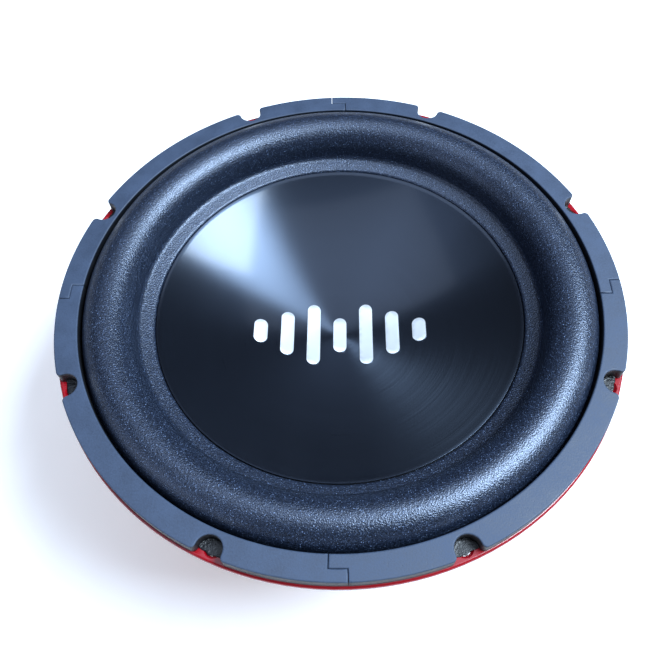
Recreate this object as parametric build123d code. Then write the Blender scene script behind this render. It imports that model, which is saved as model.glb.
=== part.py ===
"""Twelve-inch car subwoofer driver: pressed-steel frame, foam-edged cone and double-magnet motor.

Millimetres. The origin is the centre of the magnet's back, and +Z runs forwards along the
cone's axis. Angles are in degrees from +X, anticlockwise seen from the front.
"""

import os
from math import asin, cos, degrees, hypot, radians, sin, sqrt, tan

from build123d import *

# Frame: one pressing of sheet steel with a bolt flange, eight windows and a flat bottom.
FRAME_R = 156.3
SHEET = 1.2
FLANGE_Z = 137.0
RIM_DROP = 3.0
STEP_R = 144.6
STEP_Z = FLANGE_Z - 1.5
SKIRT_TOP_R = 138.6
SPOKE_TOP = (133.5, 113.0)
SPOKE_FOOT = (87.0, 65.5)
LEDGE_R = 75.0
CUP_R = 72.5
FRAME_BORE_R = 31.0
BEND_R = 2.0
EDGE_R = 0.4
# Corner radii of the pressing, from the rim to the bore, on its front face and on its back face.
FRONT_BENDS = (EDGE_R, 1.4, 0.5, 0.5, 1.0, 5 * BEND_R, BEND_R, 1.0, BEND_R, EDGE_R)
BACK_BENDS = (EDGE_R, 0.5, 0, 0.5, BEND_R, 5 * BEND_R, BEND_R, BEND_R, 1.0, EDGE_R)

# Bolt holes in the flange, each in a pressed dimple, and the windows between the spokes.
BOLT_COUNT = 8
BOLT_CIRCLE_R = 149.8
BOLT_HOLE_R = 3.2
BOLT_START = 22.5
DIMPLE_R = 4.6
DIMPLE_PAD_R = 3.9
DIMPLE_DEPTH = 1.6
DIMPLE_FLOOR = 1.6
SPOKE_COUNT = 8
SPOKE_W = 30.0
WINDOW_IN_R = 92.0
WINDOW_OUT_R = 129.0
WINDOW_CORNER = 6.0
WINDOW_CUT_TOP_Z = FLANGE_Z - 8.0

# Foam gasket: four lapped segments, cut away in a U over every bolt hole.
GASKET_R = 155.0
GASKET_BORE_R = 142.5
GASKET_T = 8.0
LAP_R = 149.0
LAP_HALF_ANGLE = 1.7
LAP_GAP_ANGLE = 0.05
SEGMENTS = 4
NOTCH_R = 6.5
NOTCH_CENTRE_R = 152.0
NOTCH_MOUTH_FILLET = 2.3
SEGMENT_END_NEAR = 0.5

# Foam half-roll surround.
ROLL_R = 127.8
ROLL_HALF_W = 13.7
ROLL_Z = FLANGE_Z + 1.0
FOAM_T = 2.4
LIP_IN_R = 105.2
LIP_IN_Z = 127.2
LIP_RISE = 0.348
LIP_OUT_R = 143.9
FOOT_BEND = 2.0

# Paper cone and the concave pressed dish that closes it.
CONE_T = 1.0
CONE_EDGE_R = 116.0
CONE_KNEE_R = 104.0
CONE_NECK_Z = 78.4
DISH_R = 104.6
DISH_Z = 127.0
DISH_APEX_Z = 94.0
DISH_T = 1.0
DISH_SKIRT_T = 1.2

# Emblem: a row of upright rounded bars laid on the dish.
EMBLEM_T = 0.5
EMBLEM_REACH = 70.0
BAR_W = 8.0
BAR_PITCH = 16.0
BAR_HEIGHTS = (16.0, 30.0, 42.0, 24.0, 42.0, 30.0, 16.0)

# Voice coil.
FORMER_IN_R = 24.9
FORMER_T = 0.3
FORMER_Z = (30.0, 84.0)
WIRE_LAYER = 0.6
WINDING_Z = (31.0, 65.0)
COLLAR_T = 0.4

# Spider: a corrugated cloth ring from the coil to the frame's ledge.
SPIDER_T = 0.6
SPIDER_NECK_H = 4.5
SPIDER_WAVE_IN_R = 30.0
SPIDER_WAVE_OUT_R = 73.2
SPIDER_HALF_WAVES = 8
SPIDER_AMPLITUDE = 2.4
SPIDER_R = 85.5

# Motor: a T-shaped yoke, two ferrite rings, a top plate and a rubber boot.
BOOT_LIP_T = 2.5
BOOT_R = 74.8
BOOT_LIP_IN_R = 58.0
BOOT_OVERLAP = 2.0
BOOT_FRONT_GAP = 0.6
# Corner radii of the boot's section, from the inside of its back lip round the outside.
BOOT_ROUNDING = (0.8, 2.5, 2.0, 0.5, 0, 0, 0, 0.8)
MAGNET_R = 72.0
MAGNET_BORE_R = 36.0
MAGNET_T = 17.0
PLATE_R = 68.0
PLATE_T = 8.0
PLATE_CHAMFER = 1.0
POLE_CHAMFER = 0.5
GAP_R = 27.0
POLE_R = 24.5
POLE_Z = 56.0
VENT_R = 9.5
VENT_FLARE = 4.5
SHORTING_RING = (29.5, 34.5, 8.0)
SCREEN_T = 0.6
SCREEN_Z = 9.0
SCREEN_HOLE_R = 1.1
SCREEN_RING_STEP = 3.2
SCREEN_RINGS = (1, 2)
SCREEN_HOLES_A_RING = 6

# Rivets that hold the frame to the top plate.
RIVET_COUNT = 6
RIVET_CIRCLE_R = 44.0
RIVET_START = 30.0
RIVET_R = 2.2
RIVET_HEAD_R = 4.2
RIVET_HEAD_H = 2.2
RIVET_DEPTH = 6.0
# Shares of the head's radius and height where its dome bends.
RIVET_DOME = ((0.8, 0.7), (0.45, 1.0))

# Spring terminals: two wedge-shaped blocks riveted to opposite spokes, two buttons on each.
BLOCK_FACE_X = 123.0
BLOCK_FLOOR_Z = 72.0
BLOCK_W = 28.0
EAR_T = 2.5
EAR_LOW = 6.5
EAR_HIGH = 8.5
EAR_RIVET_R = 1.6
EAR_RIVET_HEAD_R = 2.9
EAR_RIVET_HEAD_H = 1.2
EAR_RIVET_CROWN = 0.7
EAR_RIVET_TAIL_R = 2.3
EAR_RIVET_TAIL_T = 1.0
COVER_T = 1.5
COVER_CORNER = 1.5
COVER_TOP_GAP = 1.0
POLE_PITCH_Y = 15.0
BUTTON_Z = 79.0
BUTTON_W = 8.0
BUTTON_HEAD_W = 6.8
BUTTON_SHOULDER_X = (115.0, 122.9)
BUTTON_REACH_X = 127.7
BUTTON_ROUNDING = 0.8
POCKET_FLOOR_X = 108.5
POCKET_CLEARANCE = 0.2
WIRE_HOLE_R = 1.9
WIRE_HOLE_Z = 88.0
WIRE_STOP_X = 115.8
COVER_HOLE_R = 2.6
CONTACT_W = 5.0
CONTACT_T = 0.8
CONTACT_Z = 84.7
CONTACT_END_X = 96.5
CONTACT_TAB_TOP_Z = 91.0
SLOT_X = 106.5
SLOT_LENGTH = 12.0
SLOT_W = CONTACT_W + 2.0
SLOT_H = CONTACT_T + 3.0
SPRING_R = 2.6
SPRING_WIRE_R = 0.3
SPRING_PITCH = 1.45
SPRING_END_GAP = 0.1

# Braided leads from the contacts to the pads under the cone.
LEAD_R = 0.8
LEAD_BEND_SHARE = 0.45
LEAD_ROUTE = (
    (96.5, 84.7),
    (89.0, 84.7),
    (81.0, 80.4),
    (72.3, 78.6),
    (64.2, 81.6),
    (60.5, 88.4),
    (60.5, 95.5),
)
PAD_R = 2.4
PAD_BLANK_H = 6.0

# How far a cutter runs past the face it leaves, and the closeness that counts as touching.
OVERRUN = 1.0
TOUCHING = 0.01

FORMER_R = FORMER_IN_R + FORMER_T
NECK_R = FORMER_R + COLLAR_T
LEDGE_Z = SPOKE_FOOT[1]
MAGNET_Z = BOOT_LIP_T + PLATE_T
TOP_PLATE_Z = MAGNET_Z + 2 * MAGNET_T
FRAME_SEAT_Z = TOP_PLATE_Z + PLATE_T
GASKET_Z = FLANGE_Z + GASKET_T
# The dish is part of a sphere: its radius, and the height of its centre.
DISH_DEPTH = DISH_Z - DISH_APEX_Z
DISH_CURVE_R = (DISH_R**2 + DISH_DEPTH**2) / (2 * DISH_DEPTH)
DISH_CURVE_Z = DISH_APEX_Z + DISH_CURVE_R


def turned(points):
    """Turn a closed outline of (radius, height) points about the cone's axis."""
    return turned_face(Polyline(*points, close=True))


def turned_face(line):
    """Turn a closed line, drawn with radius as x and height as y, about the cone's axis."""
    return revolve(Plane.XZ * make_face(line), Axis.Z)


def strip_outline(path, thickness):
    """Close an open path into a strip that lies on the path's left."""
    steps = [(b[0] - a[0], b[1] - a[1]) for a, b in zip(path, path[1:])]
    normals = [(-dz / hypot(dr, dz), dr / hypot(dr, dz)) for dr, dz in steps]
    far_side = []
    for index, (r, z) in enumerate(path):
        before = normals[max(index - 1, 0)]
        after = normals[min(index, len(normals) - 1)]
        total = (before[0] + after[0], before[1] + after[1])
        scale = 2 * thickness / (total[0] ** 2 + total[1] ** 2)
        far_side.append((r + total[0] * scale, z + total[1] * scale))
    return list(path) + far_side[::-1]


def around(count, start=0.0):
    """Angles of `count` evenly spaced places round the axis."""
    return [start + 360.0 * index / count for index in range(count)]


def polar(radius, angle):
    """A point at a radius and an angle in degrees."""
    return radius * cos(radians(angle)), radius * sin(radians(angle))


def ring_arc(radius, start, end):
    """An arc about the axis between two angles."""
    return ThreePointArc(polar(radius, start), polar(radius, (start + end) / 2), polar(radius, end))


def sector(inner_r, outer_r, start, end):
    """A flat piece of a ring between two radii and two angles."""
    sides = [
        Line(polar(inner_r, start), polar(outer_r, start)),
        ring_arc(outer_r, start, end),
        Line(polar(outer_r, end), polar(inner_r, end)),
        ring_arc(inner_r, end, start),
    ]
    return make_face(Wire(sides))


def tube(bottom_z, top_z, outer_r, inner_r):
    """A plain ring between two heights."""
    return turned([(inner_r, bottom_z), (outer_r, bottom_z), (outer_r, top_z), (inner_r, top_z)])


def disc(radius, bottom_z, top_z):
    """A plain upright cylinder on the axis."""
    return Pos(0, 0, bottom_z) * Cylinder(radius, top_z - bottom_z, align=(Align.CENTER, Align.CENTER, Align.MIN))


# ---------------------------------------------------------------- frame


def window(spoke_angle):
    """The opening between one spoke and the next, as an upright cutter."""
    step = 360.0 / SPOKE_COUNT
    lean_in = degrees(asin(SPOKE_W / 2 / WINDOW_IN_R))
    lean_out = degrees(asin(SPOKE_W / 2 / WINDOW_OUT_R))
    first, last = spoke_angle, spoke_angle + step
    sides = [
        Line(polar(WINDOW_IN_R, first + lean_in), polar(WINDOW_OUT_R, first + lean_out)),
        ring_arc(WINDOW_OUT_R, first + lean_out, last - lean_out),
        Line(polar(WINDOW_OUT_R, last - lean_out), polar(WINDOW_IN_R, last - lean_in)),
        ring_arc(WINDOW_IN_R, last - lean_in, first + lean_in),
    ]
    face = make_face(Wire(sides))
    face = fillet(face.vertices(), WINDOW_CORNER)
    return Pos(0, 0, LEDGE_Z) * extrude(face, WINDOW_CUT_TOP_Z - LEDGE_Z)


def frame_pressing():
    """The bent sheet, turned, before anything is punched out of it."""
    path = [
        (FRAME_R, FLANGE_Z - RIM_DROP),
        (FRAME_R, FLANGE_Z),
        (STEP_R, FLANGE_Z),
        (STEP_R, STEP_Z),
        (SKIRT_TOP_R, STEP_Z),
        SPOKE_TOP,
        SPOKE_FOOT,
        (LEDGE_R, LEDGE_Z),
        (CUP_R, FRAME_SEAT_Z + SHEET),
        (FRAME_BORE_R, FRAME_SEAT_Z + SHEET),
    ]
    outline = strip_outline(path, SHEET)
    bends = [*FRONT_BENDS, *reversed(BACK_BENDS)]
    return turned_face(FilletPolyline(*outline, radius=bends, close=True))


def dimple_pad():
    """Metal pushed down round one bolt hole, between the step and the rim."""
    bottom_z = FLANGE_Z - DIMPLE_DEPTH - DIMPLE_FLOOR
    return Pos(BOLT_CIRCLE_R, 0, 0) * disc(DIMPLE_PAD_R, bottom_z, FLANGE_Z - SHEET / 2)


def dimple_hole():
    """Cutter for one dimple and the bolt hole at its bottom."""
    dimple = Pos(0, 0, FLANGE_Z - DIMPLE_DEPTH / 2) * Cone(BOLT_HOLE_R, DIMPLE_R, DIMPLE_DEPTH)
    floor_z = FLANGE_Z - DIMPLE_DEPTH - DIMPLE_FLOOR
    hole = disc(BOLT_HOLE_R, floor_z - OVERRUN, FLANGE_Z + OVERRUN)
    return Pos(BOLT_CIRCLE_R, 0, 0) * (dimple + hole)


def terminal_cutters():
    """Slots for the contact tails and holes for the ear rivets, for both terminal blocks."""
    cutters = []
    for turn in (0, 180):
        for side in (-1, 1):
            slot = Box(SLOT_LENGTH, SLOT_W, SLOT_H)
            cutters.append(Rot(0, 0, turn) * Pos(SLOT_X, side * POLE_PITCH_Y / 2, CONTACT_Z) * slot)
        cutters += [Rot(0, 0, turn) * rivet for rivet in ear_rivets()]
    return cutters


def make_basket():
    """Frame with its windows, dimpled bolt holes, rivet holes and slots for the contacts."""
    basket = frame_pressing()
    pad, hole = dimple_pad(), dimple_hole()
    for angle in around(BOLT_COUNT, BOLT_START):
        basket += Rot(0, 0, angle) * pad
    for angle in around(BOLT_COUNT, BOLT_START):
        basket -= Rot(0, 0, angle) * hole
    for angle in around(SPOKE_COUNT):
        basket -= window(angle)
    for angle in around(RIVET_COUNT, RIVET_START):
        basket -= Rot(0, 0, angle) * Pos(RIVET_CIRCLE_R, 0, 0) * disc(RIVET_R, FRAME_SEAT_Z - OVERRUN, LEDGE_Z)
    for cutter in terminal_cutters():
        basket -= cutter
    return basket


def frame_rivets():
    """The rivets that hold the frame to the top plate."""
    bottom, seat = FRAME_SEAT_Z + SHEET - RIVET_DEPTH, FRAME_SEAT_Z + SHEET
    outline = [
        (0, bottom),
        (RIVET_R, bottom),
        (RIVET_R, seat),
        (RIVET_HEAD_R, seat),
        *((RIVET_HEAD_R * out, seat + RIVET_HEAD_H * up) for out, up in RIVET_DOME),
        (0, seat + RIVET_HEAD_H),
    ]
    rivet = turned(outline)
    return [Rot(0, 0, angle) * Pos(RIVET_CIRCLE_R, 0, 0) * rivet for angle in around(RIVET_COUNT, RIVET_START)]


# ---------------------------------------------------------------- gasket


def gasket_segment(index):
    """One quarter of the foam gasket: its outer half is shifted round to lap the next one."""
    start = 90.0 * index + LAP_GAP_ANGLE
    end = 90.0 * (index + 1) - LAP_GAP_ANGLE
    face = sector(LAP_R, GASKET_R, start + LAP_HALF_ANGLE, end + LAP_HALF_ANGLE)
    face += sector(GASKET_BORE_R, LAP_R, start - LAP_HALF_ANGLE, end - LAP_HALF_ANGLE)
    for angle in around(BOLT_COUNT, BOLT_START):
        mouth = Pos(NOTCH_CENTRE_R + NOTCH_R, 0) * Rectangle(2 * NOTCH_R, 2 * NOTCH_R)
        face -= Rot(0, 0, angle) * (Pos(NOTCH_CENTRE_R, 0) * Circle(NOTCH_R) + mouth)
    ends = (start + LAP_HALF_ANGLE, end + LAP_HALF_ANGLE)
    mouths = [corner for corner in face.vertices() if is_mouth_corner(corner, ends)]
    face = fillet(mouths, NOTCH_MOUTH_FILLET)
    return Pos(0, 0, FLANGE_Z) * extrude(face, GASKET_T)


def is_mouth_corner(corner, ends):
    """True for a corner on the outer edge that isn't one of the segment's two ends."""
    on_edge = abs(hypot(corner.X, corner.Y) - GASKET_R) < TOUCHING
    tips = [polar(GASKET_R, angle) for angle in ends]
    at_end = any(hypot(corner.X - x, corner.Y - y) < SEGMENT_END_NEAR for x, y in tips)
    return on_edge and not at_end


# ---------------------------------------------------------------- cone assembly


def lip_top(radius):
    """Height of the surround's inner lip, which rises towards the roll."""
    return LIP_IN_Z + (radius - LIP_IN_R) * LIP_RISE


def lip_bottom(radius):
    """Height of the lip's underside, where the cone's margin is glued to it."""
    return lip_top(radius) - FOAM_T * hypot(1, LIP_RISE)


def make_surround():
    """Foam half roll with a sloping inner lip and a flat outer lip."""
    inner_r, outer_r = ROLL_R - ROLL_HALF_W, ROLL_R + ROLL_HALF_W
    crest = ROLL_Z + ROLL_HALF_W
    under = ROLL_HALF_W - FOAM_T
    wall_foot = (inner_r, lip_top(inner_r) + FOOT_BEND)
    edges = [
        Line((LIP_IN_R, lip_bottom(LIP_IN_R)), (LIP_IN_R, LIP_IN_Z)),
        Line((LIP_IN_R, LIP_IN_Z), (inner_r - FOOT_BEND, lip_top(inner_r - FOOT_BEND))),
        Line((inner_r - FOOT_BEND, lip_top(inner_r - FOOT_BEND)), wall_foot),
        Line(wall_foot, (inner_r, ROLL_Z)),
        ThreePointArc((inner_r, ROLL_Z), (ROLL_R, crest), (outer_r, ROLL_Z)),
        Line((outer_r, ROLL_Z), (outer_r, FLANGE_Z)),
        Line((outer_r, FLANGE_Z), (LIP_OUT_R, FLANGE_Z)),
        Line((LIP_OUT_R, FLANGE_Z), (LIP_OUT_R, STEP_Z)),
        Line((LIP_OUT_R, STEP_Z), (ROLL_R + under, STEP_Z)),
        Line((ROLL_R + under, STEP_Z), (ROLL_R + under, ROLL_Z)),
        ThreePointArc((ROLL_R + under, ROLL_Z), (ROLL_R, ROLL_Z + under), (ROLL_R - under, ROLL_Z)),
        Line((ROLL_R - under, ROLL_Z), (ROLL_R - under, lip_bottom(ROLL_R - under))),
        Line((ROLL_R - under, lip_bottom(ROLL_R - under)), (LIP_IN_R, lip_bottom(LIP_IN_R))),
    ]
    return turned_face(Wire(edges))


def cone_path():
    """The cone's front face, from its margin under the lip down to the coil."""
    return [
        (CONE_EDGE_R, lip_bottom(CONE_EDGE_R)),
        (CONE_KNEE_R, lip_bottom(CONE_KNEE_R)),
        (NECK_R, CONE_NECK_Z),
    ]


def make_cone():
    """Paper cone with a flatter margin for the surround."""
    return turned(strip_outline(cone_path(), CONE_T))


def bowl_z(radius, lift=0.0):
    """Height of the dish's front face, or of a face that far in front of it."""
    return DISH_CURVE_Z - sqrt((DISH_CURVE_R - lift) ** 2 - radius**2)


def bowl_arc(radius, lift=0.0):
    """Arc from the axis out to a radius, on the dish's front face or that far in front of it."""
    places = [(share * radius, bowl_z(share * radius, lift)) for share in (0, 0.5, 1)]
    return ThreePointArc(*places)


def make_dish():
    """Concave dish with a short skirt that stands on the cone at its knee."""
    knee_z = lip_bottom(CONE_KNEE_R)
    skirt_r = DISH_R - DISH_SKIRT_T
    cone_slope = (knee_z - CONE_NECK_Z) / (CONE_KNEE_R - NECK_R)
    skirt = Polyline(
        (DISH_R, DISH_Z),
        (DISH_R, lip_bottom(DISH_R)),
        (CONE_KNEE_R, knee_z),
        (skirt_r, knee_z - (CONE_KNEE_R - skirt_r) * cone_slope),
        (skirt_r, bowl_z(skirt_r, -DISH_T)),
    )
    axis = Line((0, bowl_z(0, -DISH_T)), (0, DISH_APEX_Z))
    return turned_face(Wire([bowl_arc(DISH_R), *skirt.edges(), bowl_arc(skirt_r, -DISH_T), axis]))


def emblem_bars():
    """Upright rounded bars that follow the dish's curve."""
    reach_z = bowl_z(EMBLEM_REACH, EMBLEM_T)
    rim = Line((EMBLEM_REACH, bowl_z(EMBLEM_REACH)), (EMBLEM_REACH, reach_z))
    axis = Line((0, DISH_APEX_Z), (0, DISH_APEX_Z + EMBLEM_T))
    skin = turned_face(Wire([bowl_arc(EMBLEM_REACH), rim, bowl_arc(EMBLEM_REACH, EMBLEM_T), axis]))
    bars = []
    for index, height in enumerate(BAR_HEIGHTS):
        x = (index - (len(BAR_HEIGHTS) - 1) / 2) * BAR_PITCH
        outline = Pos(x, 0, DISH_APEX_Z - OVERRUN) * SlotOverall(height, BAR_W, rotation=90)
        bars += (skin & extrude(outline, reach_z - DISH_APEX_Z + 2 * OVERRUN)).solids()
    return bars


def make_spider():
    """Corrugated cloth ring: half waves, up and down in turn, between two flat margins."""
    half = (SPIDER_WAVE_OUT_R - SPIDER_WAVE_IN_R) / SPIDER_HALF_WAVES
    top_z = LEDGE_Z + SPIDER_T
    collar_r = NECK_R + SPIDER_T
    edges = [
        Line((NECK_R, LEDGE_Z), (SPIDER_WAVE_IN_R, LEDGE_Z)),
        Line((SPIDER_WAVE_OUT_R, LEDGE_Z), (SPIDER_R, LEDGE_Z)),
        Line((SPIDER_R, LEDGE_Z), (SPIDER_R, top_z)),
        Line((SPIDER_R, top_z), (SPIDER_WAVE_OUT_R, top_z)),
        Line((SPIDER_WAVE_IN_R, top_z), (collar_r, top_z)),
        Line((collar_r, top_z), (collar_r, LEDGE_Z + SPIDER_NECK_H)),
        Line((collar_r, LEDGE_Z + SPIDER_NECK_H), (NECK_R, LEDGE_Z + SPIDER_NECK_H)),
        Line((NECK_R, LEDGE_Z + SPIDER_NECK_H), (NECK_R, LEDGE_Z)),
    ]
    for wave in range(SPIDER_HALF_WAVES):
        r = SPIDER_WAVE_IN_R + wave * half
        swing = SPIDER_AMPLITUDE if wave % 2 else -SPIDER_AMPLITUDE
        for z in (LEDGE_Z, top_z):
            edges.append(ThreePointArc((r, z), (r + half / 2, z + swing), (r + half, z)))
    return turned_face(Wire(edges))


def lead_pads():
    """Small glued pads under the cone where the braided leads end."""
    under_z = cone_path()
    rise = (under_z[1][1] - under_z[2][1]) / (under_z[1][0] - under_z[2][0])
    drop = CONE_T * hypot(1, rise)
    above = [
        (NECK_R, CONE_NECK_Z - drop),
        (CONE_KNEE_R, lip_bottom(CONE_KNEE_R) - drop),
        (CONE_KNEE_R, GASKET_Z),
        (NECK_R, GASKET_Z),
    ]
    blank_top = LEAD_ROUTE[-1][1] + PAD_BLANK_H
    pads = []
    for turn in (0, 180):
        for side in (-1, 1):
            place = Rot(0, 0, turn) * Pos(LEAD_ROUTE[-1][0], side * POLE_PITCH_Y / 2, 0)
            pads.append(place * disc(PAD_R, LEAD_ROUTE[-1][1], blank_top) - turned(above))
    return pads


# ---------------------------------------------------------------- motor


def make_yoke():
    """Back plate and pole in one piece, with a flared vent through both."""
    outline = [
        (VENT_R + VENT_FLARE, BOOT_LIP_T),
        (PLATE_R - PLATE_CHAMFER, BOOT_LIP_T),
        (PLATE_R, BOOT_LIP_T + PLATE_CHAMFER),
        (PLATE_R, MAGNET_Z),
        (POLE_R, MAGNET_Z),
        (POLE_R, POLE_Z - POLE_CHAMFER),
        (POLE_R - POLE_CHAMFER, POLE_Z),
        (VENT_R, POLE_Z),
        (VENT_R, BOOT_LIP_T + VENT_FLARE),
    ]
    return turned(outline)


def make_top_plate():
    """Front pole plate, with blind holes for the frame's rivets."""
    plate = tube(TOP_PLATE_Z, FRAME_SEAT_Z, PLATE_R, GAP_R)
    bottom = FRAME_SEAT_Z + SHEET - RIVET_DEPTH
    for angle in around(RIVET_COUNT, RIVET_START):
        plate -= Rot(0, 0, angle) * Pos(RIVET_CIRCLE_R, 0, 0) * disc(RIVET_R, bottom, FRAME_SEAT_Z + OVERRUN)
    return plate


def make_boot():
    """Rubber boot: a sleeve round the magnets with a lip turned in at each end."""
    front = TOP_PLATE_Z + BOOT_OVERLAP
    sleeve_r = PLATE_R + BOOT_FRONT_GAP
    outline = [
        (BOOT_LIP_IN_R, 0),
        (BOOT_R, 0),
        (BOOT_R, front),
        (sleeve_r, front),
        (sleeve_r, TOP_PLATE_Z),
        (MAGNET_R, TOP_PLATE_Z),
        (MAGNET_R, BOOT_LIP_T),
        (BOOT_LIP_IN_R, BOOT_LIP_T),
    ]
    return turned_face(FilletPolyline(*outline, radius=list(BOOT_ROUNDING), close=True))


def make_vent_screen():
    """Perforated disc across the pole vent."""
    screen = disc(VENT_R, SCREEN_Z, SCREEN_Z + SCREEN_T)
    hole = disc(SCREEN_HOLE_R, SCREEN_Z - OVERRUN, SCREEN_Z + SCREEN_T + OVERRUN)
    screen -= hole
    for ring in SCREEN_RINGS:
        for angle in around(SCREEN_HOLES_A_RING * ring):
            screen -= Rot(0, 0, angle) * Pos(ring * SCREEN_RING_STEP, 0, 0) * hole
    return screen


# ---------------------------------------------------------------- terminals


def spoke_slope():
    """Rise of a spoke per millimetre of radius."""
    return (SPOKE_TOP[1] - SPOKE_FOOT[1]) / (SPOKE_TOP[0] - SPOKE_FOOT[0])


def spoke_under(radius, clearance=0.0):
    """Height of the spoke's outer face at a radius, or of a line that far outside it."""
    return SPOKE_FOOT[1] + (radius - SPOKE_FOOT[0]) * spoke_slope() - (SHEET + clearance) * hypot(1, spoke_slope())


def spoke_radius(z):
    """Radius at which the spoke's outer face reaches a height."""
    return SPOKE_FOOT[0] + (z + SHEET * hypot(1, spoke_slope()) - SPOKE_FOOT[1]) / spoke_slope()


def along_spoke(start, distance, lift):
    """A point on the spoke's outer face, moved up the slope and outwards from it."""
    run = hypot(1, spoke_slope())
    up = (1 / run, spoke_slope() / run)
    out = (up[1], -up[0])
    return start[0] + up[0] * distance + out[0] * lift, start[1] + up[1] * distance + out[1] * lift


def block_corners():
    """Where the wedge meets the spoke: its lower and upper corners."""
    return (spoke_radius(BLOCK_FLOOR_Z), BLOCK_FLOOR_Z), (BLOCK_FACE_X, spoke_under(BLOCK_FACE_X))


def upright_prism(points, width):
    """Extrude an outline in the radius and height plane equally to both sides."""
    return extrude(Plane.XZ * make_face(Polyline(*points, close=True)), width / 2, both=True)


def ear_rivets():
    """One rivet through each ear of a block and the spoke behind it."""
    low, high = block_corners()
    places = (along_spoke(low, -EAR_LOW / 2, 0), along_spoke(high, EAR_HIGH / 2, 0))
    run = hypot(1, spoke_slope())
    outward = (spoke_slope() / run, 0, -1 / run)
    tail, head = SHEET + EAR_RIVET_TAIL_T, EAR_T + EAR_RIVET_HEAD_H
    outline = [
        (0, -tail),
        (EAR_RIVET_TAIL_R, -tail),
        (EAR_RIVET_TAIL_R, -SHEET),
        (EAR_RIVET_R, -SHEET),
        (EAR_RIVET_R, EAR_T),
        (EAR_RIVET_HEAD_R, EAR_T),
        (EAR_RIVET_HEAD_R * EAR_RIVET_CROWN, head),
        (0, head),
    ]
    rivet = turned(outline)
    return [Plane(origin=(r, 0, z), z_dir=outward) * rivet for r, z in places]


def button_body(side):
    """A push button: a square shoulder behind the cover and a smaller rounded head."""
    start, end = BUTTON_SHOULDER_X
    y = side * POLE_PITCH_Y / 2
    shoulder = Pos((start + end) / 2, y, BUTTON_Z) * Box(end - start, BUTTON_W, BUTTON_W)
    head_length = BUTTON_REACH_X - end
    head = Box(head_length, BUTTON_HEAD_W, BUTTON_HEAD_W)
    head = fillet(head.edges().filter_by(Axis.X), BUTTON_ROUNDING)
    head = fillet(head.faces().sort_by(Axis.X)[-1].edges(), BUTTON_ROUNDING)
    return shoulder + Pos(end + head_length / 2, y, BUTTON_Z) * head


def button_spring(side):
    """The compression spring behind one button."""
    start = POCKET_FLOOR_X + SPRING_END_GAP + SPRING_WIRE_R
    length = BUTTON_SHOULDER_X[0] - SPRING_END_GAP - SPRING_WIRE_R - start
    path = Helix(pitch=SPRING_PITCH, height=length, radius=SPRING_R)
    wire = sweep(Plane(origin=path @ 0, z_dir=path % 0) * Circle(SPRING_WIRE_R), path=path, is_frenet=True)
    return Pos(start, side * POLE_PITCH_Y / 2, BUTTON_Z) * Rot(0, 90, 0) * wire


def contact(side):
    """A contact strip: a tab that stops the wire, and a tail through the spoke for the lead."""
    y = side * POLE_PITCH_Y / 2
    length = WIRE_STOP_X - CONTACT_END_X
    tail = Pos(CONTACT_END_X + length / 2, y, CONTACT_Z) * Box(length, CONTACT_W, CONTACT_T)
    tab_height = CONTACT_TAB_TOP_Z - CONTACT_Z
    tab_z = CONTACT_Z + tab_height / 2
    return tail + Pos(WIRE_STOP_X - CONTACT_T / 2, y, tab_z) * Box(CONTACT_T, CONTACT_W, tab_height)


def make_block():
    """Moulded block: a wedge on the spoke with two riveted ears, pockets and wire holes."""
    low, high = block_corners()
    block = upright_prism([low, (BLOCK_FACE_X, BLOCK_FLOOR_Z), high], BLOCK_W)
    ears = [
        along_spoke(low, -EAR_LOW, 0),
        along_spoke(low, -EAR_LOW, EAR_T),
        along_spoke(high, EAR_HIGH, EAR_T),
        along_spoke(high, EAR_HIGH, 0),
    ]
    block += upright_prism(ears, BLOCK_W)
    pocket_w = BUTTON_W + 2 * POCKET_CLEARANCE
    pocket_length = BLOCK_FACE_X - POCKET_FLOOR_X
    hole_length = BLOCK_FACE_X + EAR_T - WIRE_STOP_X
    for side in (-1, 1):
        y = side * POLE_PITCH_Y / 2
        block -= Pos(POCKET_FLOOR_X + pocket_length / 2, y, BUTTON_Z) * Box(pocket_length, pocket_w, pocket_w)
        hole = Rot(0, 90, 0) * Cylinder(WIRE_HOLE_R, hole_length)
        block -= Pos(WIRE_STOP_X + hole_length / 2, y, WIRE_HOLE_Z) * hole
        block -= contact(side)
    for rivet in ear_rivets():
        block -= rivet
    return block


def make_cover():
    """Plate over the block's face that keeps the buttons in."""
    top_z = spoke_under(BLOCK_FACE_X, EAR_T) - COVER_TOP_GAP
    height = top_z - BLOCK_FLOOR_Z
    cover = Box(COVER_T, BLOCK_W, height)
    cover = fillet(cover.edges().filter_by(Axis.X), COVER_CORNER)
    cover = Pos(BLOCK_FACE_X + COVER_T / 2, 0, BLOCK_FLOOR_Z + height / 2) * cover
    window_w = BUTTON_HEAD_W + 2 * POCKET_CLEARANCE
    for side in (-1, 1):
        y = side * POLE_PITCH_Y / 2
        cover -= Pos(BLOCK_FACE_X, y, BUTTON_Z) * Box(4 * COVER_T, window_w, window_w)
        cover -= Pos(BLOCK_FACE_X, y, WIRE_HOLE_Z) * Rot(0, 90, 0) * Cylinder(COVER_HOLE_R, 4 * COVER_T)
    return cover


def corner_radii(route):
    """Bend radii of a lead: as large as the two runs beside each corner allow."""
    radii = []
    for a, b, c in zip(route, route[1:], route[2:]):
        before, after = Vector(*b) - Vector(*a), Vector(*c) - Vector(*b)
        turn = radians(before.get_angle(after))
        radii.append(LEAD_BEND_SHARE * min(before.length, after.length) / tan(turn / 2))
    return radii


def tinsel_lead(side):
    """A braided lead that loops slack from its contact to the cone."""
    path = FilletPolyline(*LEAD_ROUTE, radius=corner_radii(LEAD_ROUTE))
    path = Plane.XZ * path
    lead = sweep(Plane(origin=path @ 0, z_dir=path % 0) * Circle(LEAD_R), path=path)
    return Pos(0, side * POLE_PITCH_Y / 2, 0) * lead


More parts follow.
